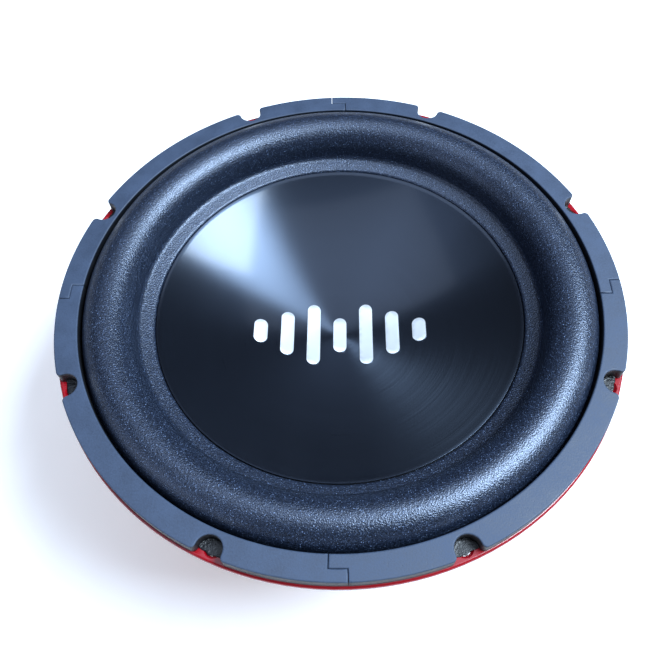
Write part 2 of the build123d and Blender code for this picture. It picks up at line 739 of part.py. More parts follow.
# ---------------------------------------------------------------- assembly


def fixed_nodes():
    """Pieces of the frame and motor."""
    nodes = {"basket": make_basket(), "frame_rivets": Compound(children=frame_rivets())}
    for index in range(SEGMENTS):
        nodes[f"gasket_segment_{index + 1}"] = gasket_segment(index)
    nodes["top_plate"] = make_top_plate()
    nodes["magnet_front"] = tube(MAGNET_Z + MAGNET_T, TOP_PLATE_Z, MAGNET_R, MAGNET_BORE_R)
    nodes["magnet_rear"] = tube(MAGNET_Z, MAGNET_Z + MAGNET_T, MAGNET_R, MAGNET_BORE_R)
    nodes["yoke"] = make_yoke()
    ring_in, ring_out, ring_h = SHORTING_RING
    nodes["shorting_ring"] = tube(MAGNET_Z, MAGNET_Z + ring_h, ring_out, ring_in)
    nodes["magnet_boot"] = make_boot()
    nodes["vent_screen"] = make_vent_screen()
    return nodes


def cone_nodes():
    """Pieces that travel with the cone."""
    return {
        "surround": make_surround(),
        "cone": make_cone(),
        "dish": make_dish(),
        "emblem": Compound(children=emblem_bars()),
        "former": tube(*FORMER_Z, FORMER_R, FORMER_IN_R),
        "winding_inner": tube(*WINDING_Z, FORMER_R + WIRE_LAYER, FORMER_R),
        "winding_outer": tube(*WINDING_Z, FORMER_R + 2 * WIRE_LAYER, FORMER_R + WIRE_LAYER),
        "coil_collar": tube(WINDING_Z[1], FORMER_Z[1], NECK_R, FORMER_R),
        "spider": make_spider(),
        "lead_pads": Compound(children=lead_pads()),
    }


def terminal_nodes(name, turn):
    """One block with its cover, contacts, buttons, springs and leads, turned to its spoke."""
    place = Rot(0, 0, turn)
    nodes = {
        f"terminal_block_{name}": place * make_block(),
        f"terminal_cover_{name}": place * make_cover(),
        f"terminal_contacts_{name}": Compound(children=[place * contact(side) for side in (-1, 1)]),
    }
    for side, pole in ((-1, "negative"), (1, "positive")):
        nodes[f"button_{name}_{pole}"] = place * button_body(side)
        nodes[f"button_spring_{name}_{pole}"] = place * button_spring(side)
        nodes[f"tinsel_lead_{name}_{pole}"] = place * tinsel_lead(side)
    return nodes


def main():
    """Build every node and write each one to its own file."""
    nodes = {**fixed_nodes(), **cone_nodes(), **terminal_nodes("a", 0), **terminal_nodes("b", 180)}
    rivets = [Rot(0, 0, turn) * rivet for turn in (0, 180) for rivet in ear_rivets()]
    nodes["terminal_rivets"] = Compound(children=rivets)
    os.makedirs("parts", exist_ok=True)
    for name, shape in nodes.items():
        export_step(shape, f"parts/{name}.step")
    print("lead bend radii", [round(radius, 1) for radius in corner_radii(LEAD_ROUTE)])


if __name__ == "__main__":
    main()
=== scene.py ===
"""Looks of a twelve-inch car subwoofer driver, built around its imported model.

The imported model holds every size, joint and place. This script adds the soft pieces, the pressed
and rolled details and the finish of each surface, and sets up a plain pale studio.
Lengths are in metres and angles in degrees.
"""

import logging
import math
from dataclasses import dataclass
from enum import Enum
from typing import Any

import bmesh
import bpy
from mathutils import Matrix, Vector, noise


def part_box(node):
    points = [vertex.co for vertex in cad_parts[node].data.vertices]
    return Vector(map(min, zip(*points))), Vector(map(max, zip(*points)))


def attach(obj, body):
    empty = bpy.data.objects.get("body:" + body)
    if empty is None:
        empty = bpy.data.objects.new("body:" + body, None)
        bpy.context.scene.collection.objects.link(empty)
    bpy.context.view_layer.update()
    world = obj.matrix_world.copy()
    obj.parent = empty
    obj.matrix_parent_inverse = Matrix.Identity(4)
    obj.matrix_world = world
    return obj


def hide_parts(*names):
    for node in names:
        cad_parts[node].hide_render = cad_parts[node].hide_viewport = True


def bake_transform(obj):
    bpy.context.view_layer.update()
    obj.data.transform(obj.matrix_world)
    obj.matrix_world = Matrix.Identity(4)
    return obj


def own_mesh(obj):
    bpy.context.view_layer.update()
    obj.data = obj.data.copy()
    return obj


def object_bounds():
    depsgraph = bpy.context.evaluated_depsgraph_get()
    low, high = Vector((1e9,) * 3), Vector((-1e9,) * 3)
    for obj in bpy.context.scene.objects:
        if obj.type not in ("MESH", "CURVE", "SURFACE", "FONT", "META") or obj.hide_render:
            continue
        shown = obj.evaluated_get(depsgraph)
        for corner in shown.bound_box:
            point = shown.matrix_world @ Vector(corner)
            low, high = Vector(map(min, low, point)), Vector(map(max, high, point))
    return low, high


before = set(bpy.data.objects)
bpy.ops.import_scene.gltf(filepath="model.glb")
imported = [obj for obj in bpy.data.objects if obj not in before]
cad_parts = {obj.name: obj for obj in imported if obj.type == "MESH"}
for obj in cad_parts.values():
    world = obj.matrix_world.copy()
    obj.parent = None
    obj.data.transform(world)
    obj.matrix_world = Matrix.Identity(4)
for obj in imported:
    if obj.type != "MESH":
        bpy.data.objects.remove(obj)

LOG = logging.getLogger("subwoofer")
CAD_BOX = [list(corner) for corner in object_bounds()]
MM = 0.001
WAVE_LENGTH = 0.314  # between the bands of a wave texture at a scale of 1
POLES = (("negative", -1), ("positive", 1))

Point = tuple[float, float]
Colour = tuple[float, float, float, float]
Node = bpy.types.Node
Tree = bpy.types.NodeTree
Socket = bpy.types.NodeSocket
Material = bpy.types.Material
Piece = bpy.types.Object
Shape = bmesh.types.BMesh


class Body(str, Enum):
    """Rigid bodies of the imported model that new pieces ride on."""

    FRAME = "frame"
    CONE = "cone_assembly"


# ------------------------------------------------------------------ small tools


def linear(colour: str) -> Colour:
    """Turn an sRGB hex colour into linear red, green, blue and alpha.

    Args:
        colour: six hex digits, with or without a leading hash.

    Returns:
        The colour's linear channels and an alpha of 1.
    """
    digits = colour.lstrip("#")
    channels = [int(digits[i : i + 2], 16) / 255 for i in (0, 2, 4)]
    bright = [c / 12.92 if c <= 0.04045 else ((c + 0.055) / 1.055) ** 2.4 for c in channels]
    return bright[0], bright[1], bright[2], 1.0


def scaled(colour: str, factor: float) -> Colour:
    """An sRGB hex colour in linear channels, made darker or brighter by a factor."""
    return *(min(channel * factor, 1.0) for channel in linear(colour)[:3]), 1.0


def add_node(
    tree: Tree, kind: str, values: dict | None = None, links: dict | None = None, **fields: Any
) -> Node:
    """Add one node to a tree with its settings and links.

    Args:
        tree: the shader or geometry tree.
        kind: the node's type name.
        values: input sockets, by name or number, and the constants they get.
        links: input sockets, by name or number, and the output sockets that feed them.
        **fields: the node's own properties, such as operation.

    Returns:
        The new node.
    """
    node = tree.nodes.new(kind)
    for name, value in fields.items():
        setattr(node, name, value)
    for socket, value in (values or {}).items():
        node.inputs[socket].default_value = value
    for socket, source in (links or {}).items():
        tree.links.new(source, node.inputs[socket])
    return node


def smoothstep(value: float) -> float:
    """Ease from 0 to 1 and hold outside that range."""
    held = min(max(value, 0.0), 1.0)
    return held * held * (3 - 2 * held)


def polar(radius: float, degrees: float) -> Point:
    """A point in the plane at a radius and an angle."""
    return radius * math.cos(math.radians(degrees)), radius * math.sin(math.radians(degrees))


def arc(centre: Point, radius: float, start: float, end: float, steps: int) -> list[Point]:
    """Points along an arc, both ends included.

    Args:
        centre: the arc's centre.
        radius: its radius.
        start: the angle of its first point.
        end: the angle of its last point.
        steps: how many stretches it is divided into.

    Returns:
        The points in order.
    """
    angles = [start + (end - start) * step / steps for step in range(steps + 1)]
    return [(centre[0] + polar(radius, a)[0], centre[1] + polar(radius, a)[1]) for a in angles]


def between(start: Point, end: Point, steps: int) -> list[Point]:
    """Points along a straight line, without its last one."""
    return [tuple(a + (b - a) * step / steps for a, b in zip(start, end)) for step in range(steps)]


def linked(name: str, data: bpy.types.ID) -> Piece:
    """Put a new object with its data in the scene, at the origin.

    Args:
        name: the object's name.
        data: its mesh, curve, light or camera.

    Returns:
        The object.
    """
    piece = bpy.data.objects.new(name, data)
    bpy.context.scene.collection.objects.link(piece)
    return piece


def mesh_piece(name: str, shape: Shape, material: Material) -> Piece:
    """Make an object from a bmesh, with outward faces and smooth shading.

    Args:
        name: the piece's name.
        shape: the finished bmesh, which is freed.
        material: the piece's finish.

    Returns:
        The object, linked to the scene at the origin.
    """
    bmesh.ops.recalc_face_normals(shape, faces=shape.faces)
    mesh = bpy.data.meshes.new(name)
    shape.to_mesh(mesh)
    shape.free()
    mesh.shade_smooth()
    mesh.materials.append(material)
    return linked(name, mesh)


def turned_shape(profile: list[Point], segments: int) -> Shape:
    """Turn a closed outline of radius and height about the upright axis.

    Args:
        profile: the outline's points in order; points at radius 0 become poles.
        segments: steps round the axis.

    Returns:
        A closed bmesh with a UV map of turn fraction and distance along the outline.
    """
    shape, same_place = bmesh.new(), 1e-7
    rings = []
    for index in range(segments):
        angle = 360.0 * index / segments
        rings.append([shape.verts.new((*polar(radius, angle), height)) for radius, height in profile])
    travel = [0.0]
    for start, end in zip(profile, profile[1:] + profile[:1]):
        travel.append(travel[-1] + math.dist(start, end))
    uv = shape.loops.layers.uv.new("UVMap")
    count = len(profile)
    for index in range(segments):
        ring, following = rings[index], rings[(index + 1) % segments]
        for spot in range(count):
            after = (spot + 1) % count
            if profile[spot][0] == 0 and profile[after][0] == 0:
                continue
            face = shape.faces.new((ring[spot], following[spot], following[after], ring[after]))
            corners = ((index, spot), (index + 1, spot), (index + 1, spot + 1), (index, spot + 1))
            for loop, (turn, along) in zip(face.loops, corners):
                loop[uv].uv = (turn / segments, travel[along])
    bmesh.ops.remove_doubles(shape, verts=shape.verts, dist=same_place)
    return shape


def moved_in(outline: list[Point], distance: float) -> list[Point]:
    """Move a closed anticlockwise outline inwards by a distance, with mitred corners.

    Args:
        outline: its points in order.
        distance: how far each side moves.

    Returns:
        As many points, in the same order.
    """
    moved = []
    for before, here, after in zip(outline[-1:] + outline[:-1], outline, outline[1:] + outline[:1]):
        first, second = Vector(here) - Vector(before), Vector(after) - Vector(here)
        sides = [Vector((-side.y, side.x)).normalized() for side in (first, second)]
        total = sides[0] + sides[1]
        moved.append(tuple(Vector(here) + total * (2 * distance / total.length_squared)))
    return moved


def rounded_slab(outline: list[Point], bottom: float, top: float, rounding: float) -> Shape:
    """A flat slab whose upper and lower edges are rounded.

    Args:
        outline: its plan, anticlockwise.
        bottom: height of its lower side.
        top: height of its upper side.
        rounding: radius of its upper edge; the lower edge has a third of it.

    Returns:
        The closed slab, with flat rings at both caps so that their shading stays level.
    """
    soft, steps, flat_ring = rounding / 3, 4, 1.4
    turns = [math.pi / 2 * step / steps for step in range(steps + 1)]
    levels = [(soft * 2, bottom), (soft, bottom), (0.0, bottom + soft)]
    levels += [(rounding * (1 - math.cos(turn)), top - rounding * (1 - math.sin(turn))) for turn in turns]
    levels += [(rounding * flat_ring, top)]
    shape = bmesh.new()
    rings = [
        [shape.verts.new((x, y, height)) for x, y in moved_in(outline, inset)] for inset, height in levels
    ]
    for lower, upper in zip(rings, rings[1:]):
        for spot in range(len(outline)):
            after = (spot + 1) % len(outline)
            shape.faces.new((lower[spot], lower[after], upper[after], upper[spot]))
    for ring in (rings[0], rings[-1]):
        edges = [shape.edges.get((a, b)) for a, b in zip(ring, ring[1:] + ring[:1])]
        bmesh.ops.triangle_fill(shape, use_beauty=True, use_dissolve=False, edges=edges)
    return shape


def finish_cad(node: str, material: Material) -> None:
    """Give a carried-over node its finish.

    Args:
        node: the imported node's name.
        material: its finish.
    """
    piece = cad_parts[node]
    for slot in piece.material_slots:
        slot.material = material
    LOG.info("%s finished as %s", node, material.name)


def softened(node: str, width: float, material: Material, body: Body) -> None:
    """Stand a copy of a node in for it, with its sharp edges rounded.

    Args:
        node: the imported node's name.
        width: how far each rounding reaches from the edge.
        material: the copy's finish.
        body: the body that it rides on.
    """
    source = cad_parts[node]
    same_place, same_plane, sharp = 2e-6, math.radians(0.5), math.radians(35)
    shape = bmesh.new()
    shape.from_mesh(source.data)
    bmesh.ops.transform(shape, matrix=source.matrix_world, verts=shape.verts)
    bmesh.ops.remove_doubles(shape, verts=shape.verts, dist=same_place)
    edges = [edge for edge in shape.edges if edge.is_manifold]
    bmesh.ops.dissolve_limit(shape, angle_limit=same_plane, verts=shape.verts, edges=edges)
    piece = mesh_piece(f"{node}_soft", shape, material)
    rounding = piece.modifiers.new("Rounding", "BEVEL")
    rounding.width = width
    rounding.segments = 2
    rounding.limit_method = "ANGLE"
    rounding.angle_limit = sharp
    rounding.harden_normals = True
    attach(piece, body.value)
    stand_for(piece, node)


def stand_for(piece: Piece, node: str) -> None:
    """Let a piece replace a node, which is hidden, and report the piece."""
    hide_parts(node)
    take_slot(piece)


def take_slot(piece: Piece) -> None:
    """Report a piece and how many faces it has.

    Args:
        piece: the new piece.
    """
    LOG.info("%s has %d faces", piece.name, len(piece.data.polygons))


def stretch_across(piece: Piece) -> None:
    """Bake a round membrane's placement into its mesh.

    Args:
        piece: the membrane, with no parent.
    """
    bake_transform(piece)


# ------------------------------------------------------------------ finishes


@dataclass(frozen=True)
class Finish:
    """A surface with fine grain and a slow change of colour and gloss; the kinds below differ from it."""

    name: str
    colour: str
    roughness: float
    metallic: float = 0.0
    ior: float = 1.5
    coat: float = 0.0
    coat_roughness: float = 0.05
    sheen: float = 0.0
    anisotropic: float = 0.0
    grain_turn: float = 0.0
    tint: str = "#ffffff"
    grain: float = 0.9 * MM
    grain_depth: float = 0.02 * MM
    patch_grains: float = 22.0
    spread: float = 0.06

    def material(self) -> Material:
        """Build the material.

        Returns:
            A node material with this finish's constants and pattern.
        """
        material = bpy.data.materials.new(self.name)
        material.use_nodes = True
        tree = material.node_tree
        tree.nodes.clear()
        constants = {
            "Base Color": linear(self.colour),
            "Roughness": self.roughness,
            "Metallic": self.metallic,
            "IOR": self.ior,
            "Coat Weight": self.coat,
            "Coat Roughness": self.coat_roughness,
            "Sheen Weight": self.sheen,
            "Anisotropic": self.anisotropic,
            "Anisotropic Rotation": self.grain_turn,
            "Specular Tint": linear(self.tint),
        }
        shader = add_node(tree, "ShaderNodeBsdfPrincipled", constants)
        add_node(tree, "ShaderNodeOutputMaterial", links={"Surface": shader.outputs["BSDF"]})
        self.pattern(tree, shader)
        return material

    def pattern(self, tree: Tree, shader: Node) -> None:
        """Add what varies over the surface.

        Args:
            tree: the material's tree.
            shader: its principled shader.
        """
        where = {"Vector": add_node(tree, "ShaderNodeTexCoord").outputs["Object"]}
        patch = self.grain * self.patch_grains
        fine = add_node(tree, "ShaderNodeTexNoise", {"Scale": 1 / self.grain, "Detail": 3.0}, where)
        slow = add_node(tree, "ShaderNodeTexNoise", {"Scale": 1 / patch, "Detail": 4.0}, where)
        self.emboss(tree, shader, fine.outputs["Fac"], self.grain_depth)
        self.wander(tree, shader, slow.outputs["Fac"], self.spread)

    def emboss(self, tree: Tree, shader: Node, height: Socket, depth: float) -> None:
        """Raise the surface by a pattern.

        Args:
            tree: the material's tree.
            shader: its principled shader.
            height: the pattern, from 0 to 1.
            depth: how high it stands where it is 1.
        """
        bump = add_node(tree, "ShaderNodeBump", {"Strength": 1.0, "Distance": depth}, {"Height": height})
        tree.links.new(bump.outputs["Normal"], shader.inputs["Normal"])

    def wander(self, tree: Tree, shader: Node, source: Socket, spread: float) -> None:
        """Let colour and roughness follow a slow pattern.

        Args:
            tree: the material's tree.
            shader: its principled shader.
            source: the pattern, from 0 to 1.
            spread: the change at each end, as a share.
        """
        ends = {6: scaled(self.colour, 1 - spread), 7: scaled(self.colour, 1 + spread)}
        tint = add_node(tree, "ShaderNodeMix", ends, {0: source}, data_type="RGBA")
        gloss = {"To Min": self.roughness * (1 - spread), "To Max": min(self.roughness * (1 + spread), 1.0)}
        rough = add_node(tree, "ShaderNodeMapRange", gloss, {"Value": source})
        tree.links.new(tint.outputs[2], shader.inputs["Base Color"])
        tree.links.new(rough.outputs["Result"], shader.inputs["Roughness"])


@dataclass(frozen=True)
class BakedEnamel(Finish):
    """Gloss baked enamel over pressed steel: a faint orange peel in the top layer."""

    grain: float = 2.2 * MM
    grain_depth: float = 0.035 * MM
    spread: float = 0.05


@dataclass(frozen=True)
class DriedFilm(Finish):
    """Contact cement that dried in a wrinkled skin: small wet-looking glints."""

    grain: float = 0.8 * MM
    grain_depth: float = 0.30 * MM
    spread: float = 0.3


@dataclass(frozen=True)
class SparkleFoam(Finish):
    """Open polyurethane foam over a dark body: the pale flecks are painted glints, standing in for
    sliced-open cells that catch the light, and the cell grain has painted shade in its hollows and painted
    light on its ridges.
    """

    # Real cells are about 0.4 mm across; they are drawn about twice as coarse, so that they show.
    cell: float = 0.78 * MM
    fleck_cell: float = 1.05 * MM
    fleck_reach: float = 0.26
    fleck_core: float = 0.45
    # Smaller painted glints: their spacing and radius as shares.
    small_glint_share: float = 0.55
    small_glint_reach: float = 0.30
    draw_span: Point = (0.52, 1.1)
    grain_span: Point = (0.35, 0.65)
    gloss_span: Point = (0.9, 1.12)
    relief: float = 0.30 * MM
    patch: float = 9 * MM
    # Colour of the painted glints: pale flecks in the base colour that stand in for foam cells catching the
    # light.
    painted_glint: str = "#93abd6"
    # Painted shade in the cell hollows and painted light on the ridges, as factors on the base colour.
    hollow_shade: float = 0.36
    ridge_light: float = 2.2

    def pattern(self, tree: Tree, shader: Node) -> None:
        """Add cell grain with painted shade and painted light, painted glints as flecks of two sizes, and
        slow changes of gloss.

        Args:
            tree: the material's tree.
            shader: its principled shader.
        """
        where = {"Vector": add_node(tree, "ShaderNodeTexCoord").outputs["Object"]}
        cells = add_node(tree, "ShaderNodeTexNoise", {"Scale": 1 / self.cell, "Detail": 2.5}, where)
        slow = add_node(tree, "ShaderNodeTexNoise", {"Scale": 1 / self.patch, "Detail": 3.0}, where)
        flecks = self.flecks(tree, where, self.fleck_cell, self.fleck_reach)
        small_glints = self.flecks(tree, where, self.fleck_cell * self.small_glint_share, self.small_glint_reach)
        dots = {0: flecks, 1: small_glints}
        both = add_node(tree, "ShaderNodeMath", {}, dots, operation="MAXIMUM").outputs["Value"]
        # Cell grain in the base colour follows the bump: darker in its hollows and lighter on its ridges, as
        # painted shade and painted light.
        height = {"Value": cells.outputs["Fac"]}
        contrast = dict(zip(("From Min", "From Max"), self.grain_span))
        grain = add_node(tree, "ShaderNodeMapRange", contrast, height)
        ends = {6: scaled(self.colour, self.hollow_shade), 7: scaled(self.colour, self.ridge_light)}
        shade = add_node(tree, "ShaderNodeMix", ends, {0: grain.outputs["Result"]}, data_type="RGBA")
        # Painted glints mixed over the grain.
        layers = {0: both, 6: shade.outputs[2]}
        tint = add_node(tree, "ShaderNodeMix", {7: linear(self.painted_glint)}, layers, data_type="RGBA")
        gloss = {f"To {end}": self.roughness * share for end, share in zip(("Min", "Max"), self.gloss_span)}
        rough = add_node(tree, "ShaderNodeMapRange", gloss, {"Value": slow.outputs["Fac"]})
        tree.links.new(tint.outputs[2], shader.inputs["Base Color"])
        tree.links.new(rough.outputs["Result"], shader.inputs["Roughness"])
        self.emboss(tree, shader, cells.outputs["Fac"], self.relief)

    def flecks(self, tree: Tree, where: dict[str, Socket], cell: float, reach: float) -> Socket:
        """A mask of scattered dots of uneven strength, one in about every second cell.

        Args:
            tree: the material's tree.
            where: the link that gives a texture its coordinates, in metres.
            cell: spacing of the dots.
            reach: a dot's radius as a share of the spacing.

        Returns:
            The mask's socket, from 0 to 1.
        """
        dots = add_node(tree, "ShaderNodeTexVoronoi", {"Scale": 1 / cell}, where)
        core = {"From Min": reach, "From Max": reach * self.fleck_core}
        near = add_node(tree, "ShaderNodeMapRange", core, {"Value": dots.outputs["Distance"]})
        draw = add_node(tree, "ShaderNodeSeparateColor", {}, {"Color": dots.outputs["Color"]}).outputs["Red"]
        strength = dict(zip(("From Min", "From Max"), self.draw_span))
        chosen = add_node(tree, "ShaderNodeMapRange", strength, {"Value": draw})
        both = {0: near.outputs["Result"], 1: chosen.outputs["Result"]}
        return add_node(tree, "ShaderNodeMath", {}, both, operation="MULTIPLY").outputs["Value"]


@dataclass(frozen=True)
class SkinnedFoam(Finish):
    """Closed-cell gasket foam: a matt skin with sparse pinholes, and painted shade on its steep sides."""

    skin: float = 0.9 * MM
    scuff: float = 14 * MM
    pinhole: float = 1.6 * MM
    pinhole_share: float = 0.55
    relief: float = 0.06 * MM
    skin_share: float = 0.45
    spread: float = 0.75
    # Near-black colour of the painted shade on the steep sides.
    side_shade: str = "#0a0d13"

    def pattern(self, tree: Tree, shader: Node) -> None:
        """Add skin grain, pinholes and soft scuffs, and darken the steep sides towards near black as painted
        shade.

        Args:
            tree: the material's tree.
            shader: its principled shader.
        """
        spot = add_node(tree, "ShaderNodeTexCoord")
        where = {"Vector": spot.outputs["Object"]}
        skin = add_node(tree, "ShaderNodeTexNoise", {"Scale": 1 / self.skin, "Detail": 3.0}, where)
        rubbed = {"Scale": 1 / self.scuff, "Detail": 6.0, "Roughness": 0.62}
        scuffs = add_node(tree, "ShaderNodeTexNoise", rubbed, where)
        holes = add_node(tree, "ShaderNodeTexVoronoi", {"Scale": 1 / self.pinhole}, where)
        rim = {"From Min": 0.05, "From Max": 0.22}
        pits = add_node(tree, "ShaderNodeMapRange", rim, {"Value": holes.outputs["Distance"]})
        layers = {0: pits.outputs["Result"], 2: skin.outputs["Fac"]}
        relief = add_node(tree, "ShaderNodeMath", {1: self.pinhole_share}, layers, operation="MULTIPLY_ADD")
        self.emboss(tree, shader, relief.outputs["Value"], self.relief)
        layers = {2: scuffs.outputs["Fac"], 3: skin.outputs["Fac"]}
        mottle = add_node(tree, "ShaderNodeMix", {0: self.skin_share}, layers, data_type="FLOAT")
        self.wander(tree, shader, mottle.outputs[0], self.spread)
        # Painted shade: the steeper a face, the nearer its colour comes to the near-black shade colour.
        upright = add_node(tree, "ShaderNodeSeparateXYZ", {}, {"Vector": spot.outputs["Normal"]}).outputs["Z"]
        level = add_node(tree, "ShaderNodeMapRange", {"From Min": 0.05, "From Max": 0.75}, {"Value": upright})
        layers = {0: level.outputs["Result"], 7: shader.inputs["Base Color"].links[0].from_socket}
        sides = add_node(tree, "ShaderNodeMix", {6: linear(self.side_shade)}, layers, data_type="RGBA")
        tree.links.new(sides.outputs[2], shader.inputs["Base Color"])


@dataclass(frozen=True)
class SpunLacquer(Finish):
    """Spun sheet under clear black lacquer: fine turning lines spread each light into a wedge."""

    # Real turning lines are about 0.1 mm apart; they are drawn much coarser, so that a few show.
    line: float = 0.9 * MM
    line_breaks: float = 5.0
    relief: float = 0.016 * MM
    spread: float = 0.28

    def pattern(self, tree: Tree, shader: Node) -> None:
        """Add turning lines, which run round the piece, and the direction of the grain.

        Args:
            tree: the material's tree.
            shader: its principled shader.
        """
        where = add_node(tree, "ShaderNodeTexCoord").outputs["UV"]
        turned = {"Rotation": (0, 0, -math.pi / 2), "Scale": (-self.line_breaks, 1 / self.line, 1.0)}
        spot = add_node(tree, "ShaderNodeMapping", turned, {"Vector": where}).outputs["Vector"]
        uneven = {"Scale": 1.0, "Detail": 4.0, "Roughness": 0.7}
        lines = add_node(tree, "ShaderNodeTexNoise", uneven, {"Vector": spot}).outputs["Fac"]
        grain = add_node(tree, "ShaderNodeTangent", direction_type="UV_MAP", uv_map="UVMap")
        tree.links.new(grain.outputs["Tangent"], shader.inputs["Tangent"])
        self.emboss(tree, shader, lines, self.relief)
        self.wander(tree, shader, lines, self.spread)


@dataclass(frozen=True)
class TurnedMetal(Finish):
    """Metal faced on a lathe: rings about the upright axis."""

    # The tool's real feed is about 0.2 mm a turn; the rings are drawn coarser, so that they show.
    ring: float = 0.6 * MM
    ring_depth: float = 0.012 * MM
    stain: float = 16 * MM
    spread: float = 0.14

    def pattern(self, tree: Tree, shader: Node) -> None:
        """Add tool rings that widen from the axis, and stains.

        Args:
            tree: the material's tree.
            shader: its principled shader.
        """
        where = {"Vector": add_node(tree, "ShaderNodeTexCoord").outputs["Object"]}
        sizes = {"Scale": WAVE_LENGTH / self.ring, "Distortion": 0.6, "Detail": 2.0}
        rings = add_node(tree, "ShaderNodeTexWave", sizes, where, wave_type="RINGS", rings_direction="Z")
        stain = add_node(tree, "ShaderNodeTexNoise", {"Scale": 1 / self.stain, "Detail": 5.0}, where)
        self.emboss(tree, shader, rings.outputs["Fac"], self.ring_depth)
        self.wander(tree, shader, stain.outputs["Fac"], self.spread)


@dataclass(frozen=True)
class PlainWeave(Finish):
    """Square-woven cloth: threads over and under along X and Y, stiffened with resin."""

    # Real threads are about 0.4 mm wide; they are drawn twice as coarse, so that they show.
    thread: float = 0.9 * MM
    thread_depth: float = 0.16 * MM
    pool: float = 11 * MM
    pool_share: float = 0.45
    spread: float = 0.34

    def pattern(self, tree: Tree, shader: Node) -> None:
        """Add crossing threads and uneven resin.

        Args:
            tree: the material's tree.
            shader: its principled shader.
        """
        where = {"Vector": add_node(tree, "ShaderNodeTexCoord").outputs["Object"]}
        sizes = {"Scale": WAVE_LENGTH / self.thread, "Distortion": 0.25, "Detail": 1.0}
        waves = [add_node(tree, "ShaderNodeTexWave", sizes, where, bands_direction=way) for way in ("X", "Y")]
        crossed = {number: wave.outputs["Fac"] for number, wave in enumerate(waves)}
        weave = add_node(tree, "ShaderNodeMath", {}, crossed, operation="MULTIPLY").outputs["Value"]
        resin = add_node(tree, "ShaderNodeTexNoise", {"Scale": 1 / self.pool, "Detail": 4.0}, where)
        layers = {2: weave, 3: resin.outputs["Fac"]}
        mixed = add_node(tree, "ShaderNodeMix", {0: self.pool_share}, layers, data_type="FLOAT")
        self.emboss(tree, shader, weave, self.thread_depth)
        self.wander(tree, shader, mixed.outputs[0], self.spread)


@dataclass(frozen=True)
class FeltedPaper(Finish):
    """Pressed paper pulp: short crossed fibres."""

    fibre: float = 2.4 * MM
    fibre_depth: float = 0.18 * MM
    spread: float = 0.35

    def pattern(self, tree: Tree, shader: Node) -> None:
        """Add fibres.

        Args:
            tree: the material's tree.
            shader: its principled shader.
        """
        where = {"Vector": add_node(tree, "ShaderNodeTexCoord").outputs["Object"]}
        tangled = {"Scale": 1 / self.fibre, "Detail": 8.0, "Roughness": 0.75, "Distortion": 1.8}
        fibres = add_node(tree, "ShaderNodeTexNoise", tangled, where).outputs["Fac"]
        self.emboss(tree, shader, fibres, self.fibre_depth)
        self.wander(tree, shader, fibres, self.spread)


class Lay(Enum):
    """How wire is laid: turns stacked along the upright axis, or a plait along the piece's own UV map."""

    TURNS = ("Object", "Z", (0,))
    PLAIT = ("UV", "X", (45, -45))


@dataclass(frozen=True)
class WoundWire(Finish):
    """Close turns or plaits of wire: a fine rib that catches the light along each strand."""

    # Real strands are about 0.3 mm apart; they are drawn coarser, so that they show.
    pitch: float = 0.5 * MM
    lay: Lay = Lay.TURNS
    depth_share: float = 0.35
    spread: float = 0.30

    def pattern(self, tree: Tree, shader: Node) -> None:
        """Add the strands, in crossing sets for a plait.

        Args:
            tree: the material's tree.
            shader: its principled shader.
        """
        source, direction, turns = self.lay.value
        where = add_node(tree, "ShaderNodeTexCoord").outputs[source]
        heights = []
        for turn in turns:
            lean = {"Rotation": (0, 0, math.radians(turn))}
            spot = add_node(tree, "ShaderNodeMapping", lean, {"Vector": where}).outputs["Vector"]
            sizes = {"Scale": WAVE_LENGTH / self.pitch, "Distortion": 0.0}
            wave = add_node(tree, "ShaderNodeTexWave", sizes, {"Vector": spot}, bands_direction=direction)
            heights.append(wave.outputs["Fac"])
        higher = {0: heights[0], 1: heights[-1]}
        height = add_node(tree, "ShaderNodeMath", {}, higher, operation="MAXIMUM").outputs["Value"]
        self.emboss(tree, shader, height, self.pitch * self.depth_share)
        self.wander(tree, shader, height, self.spread)


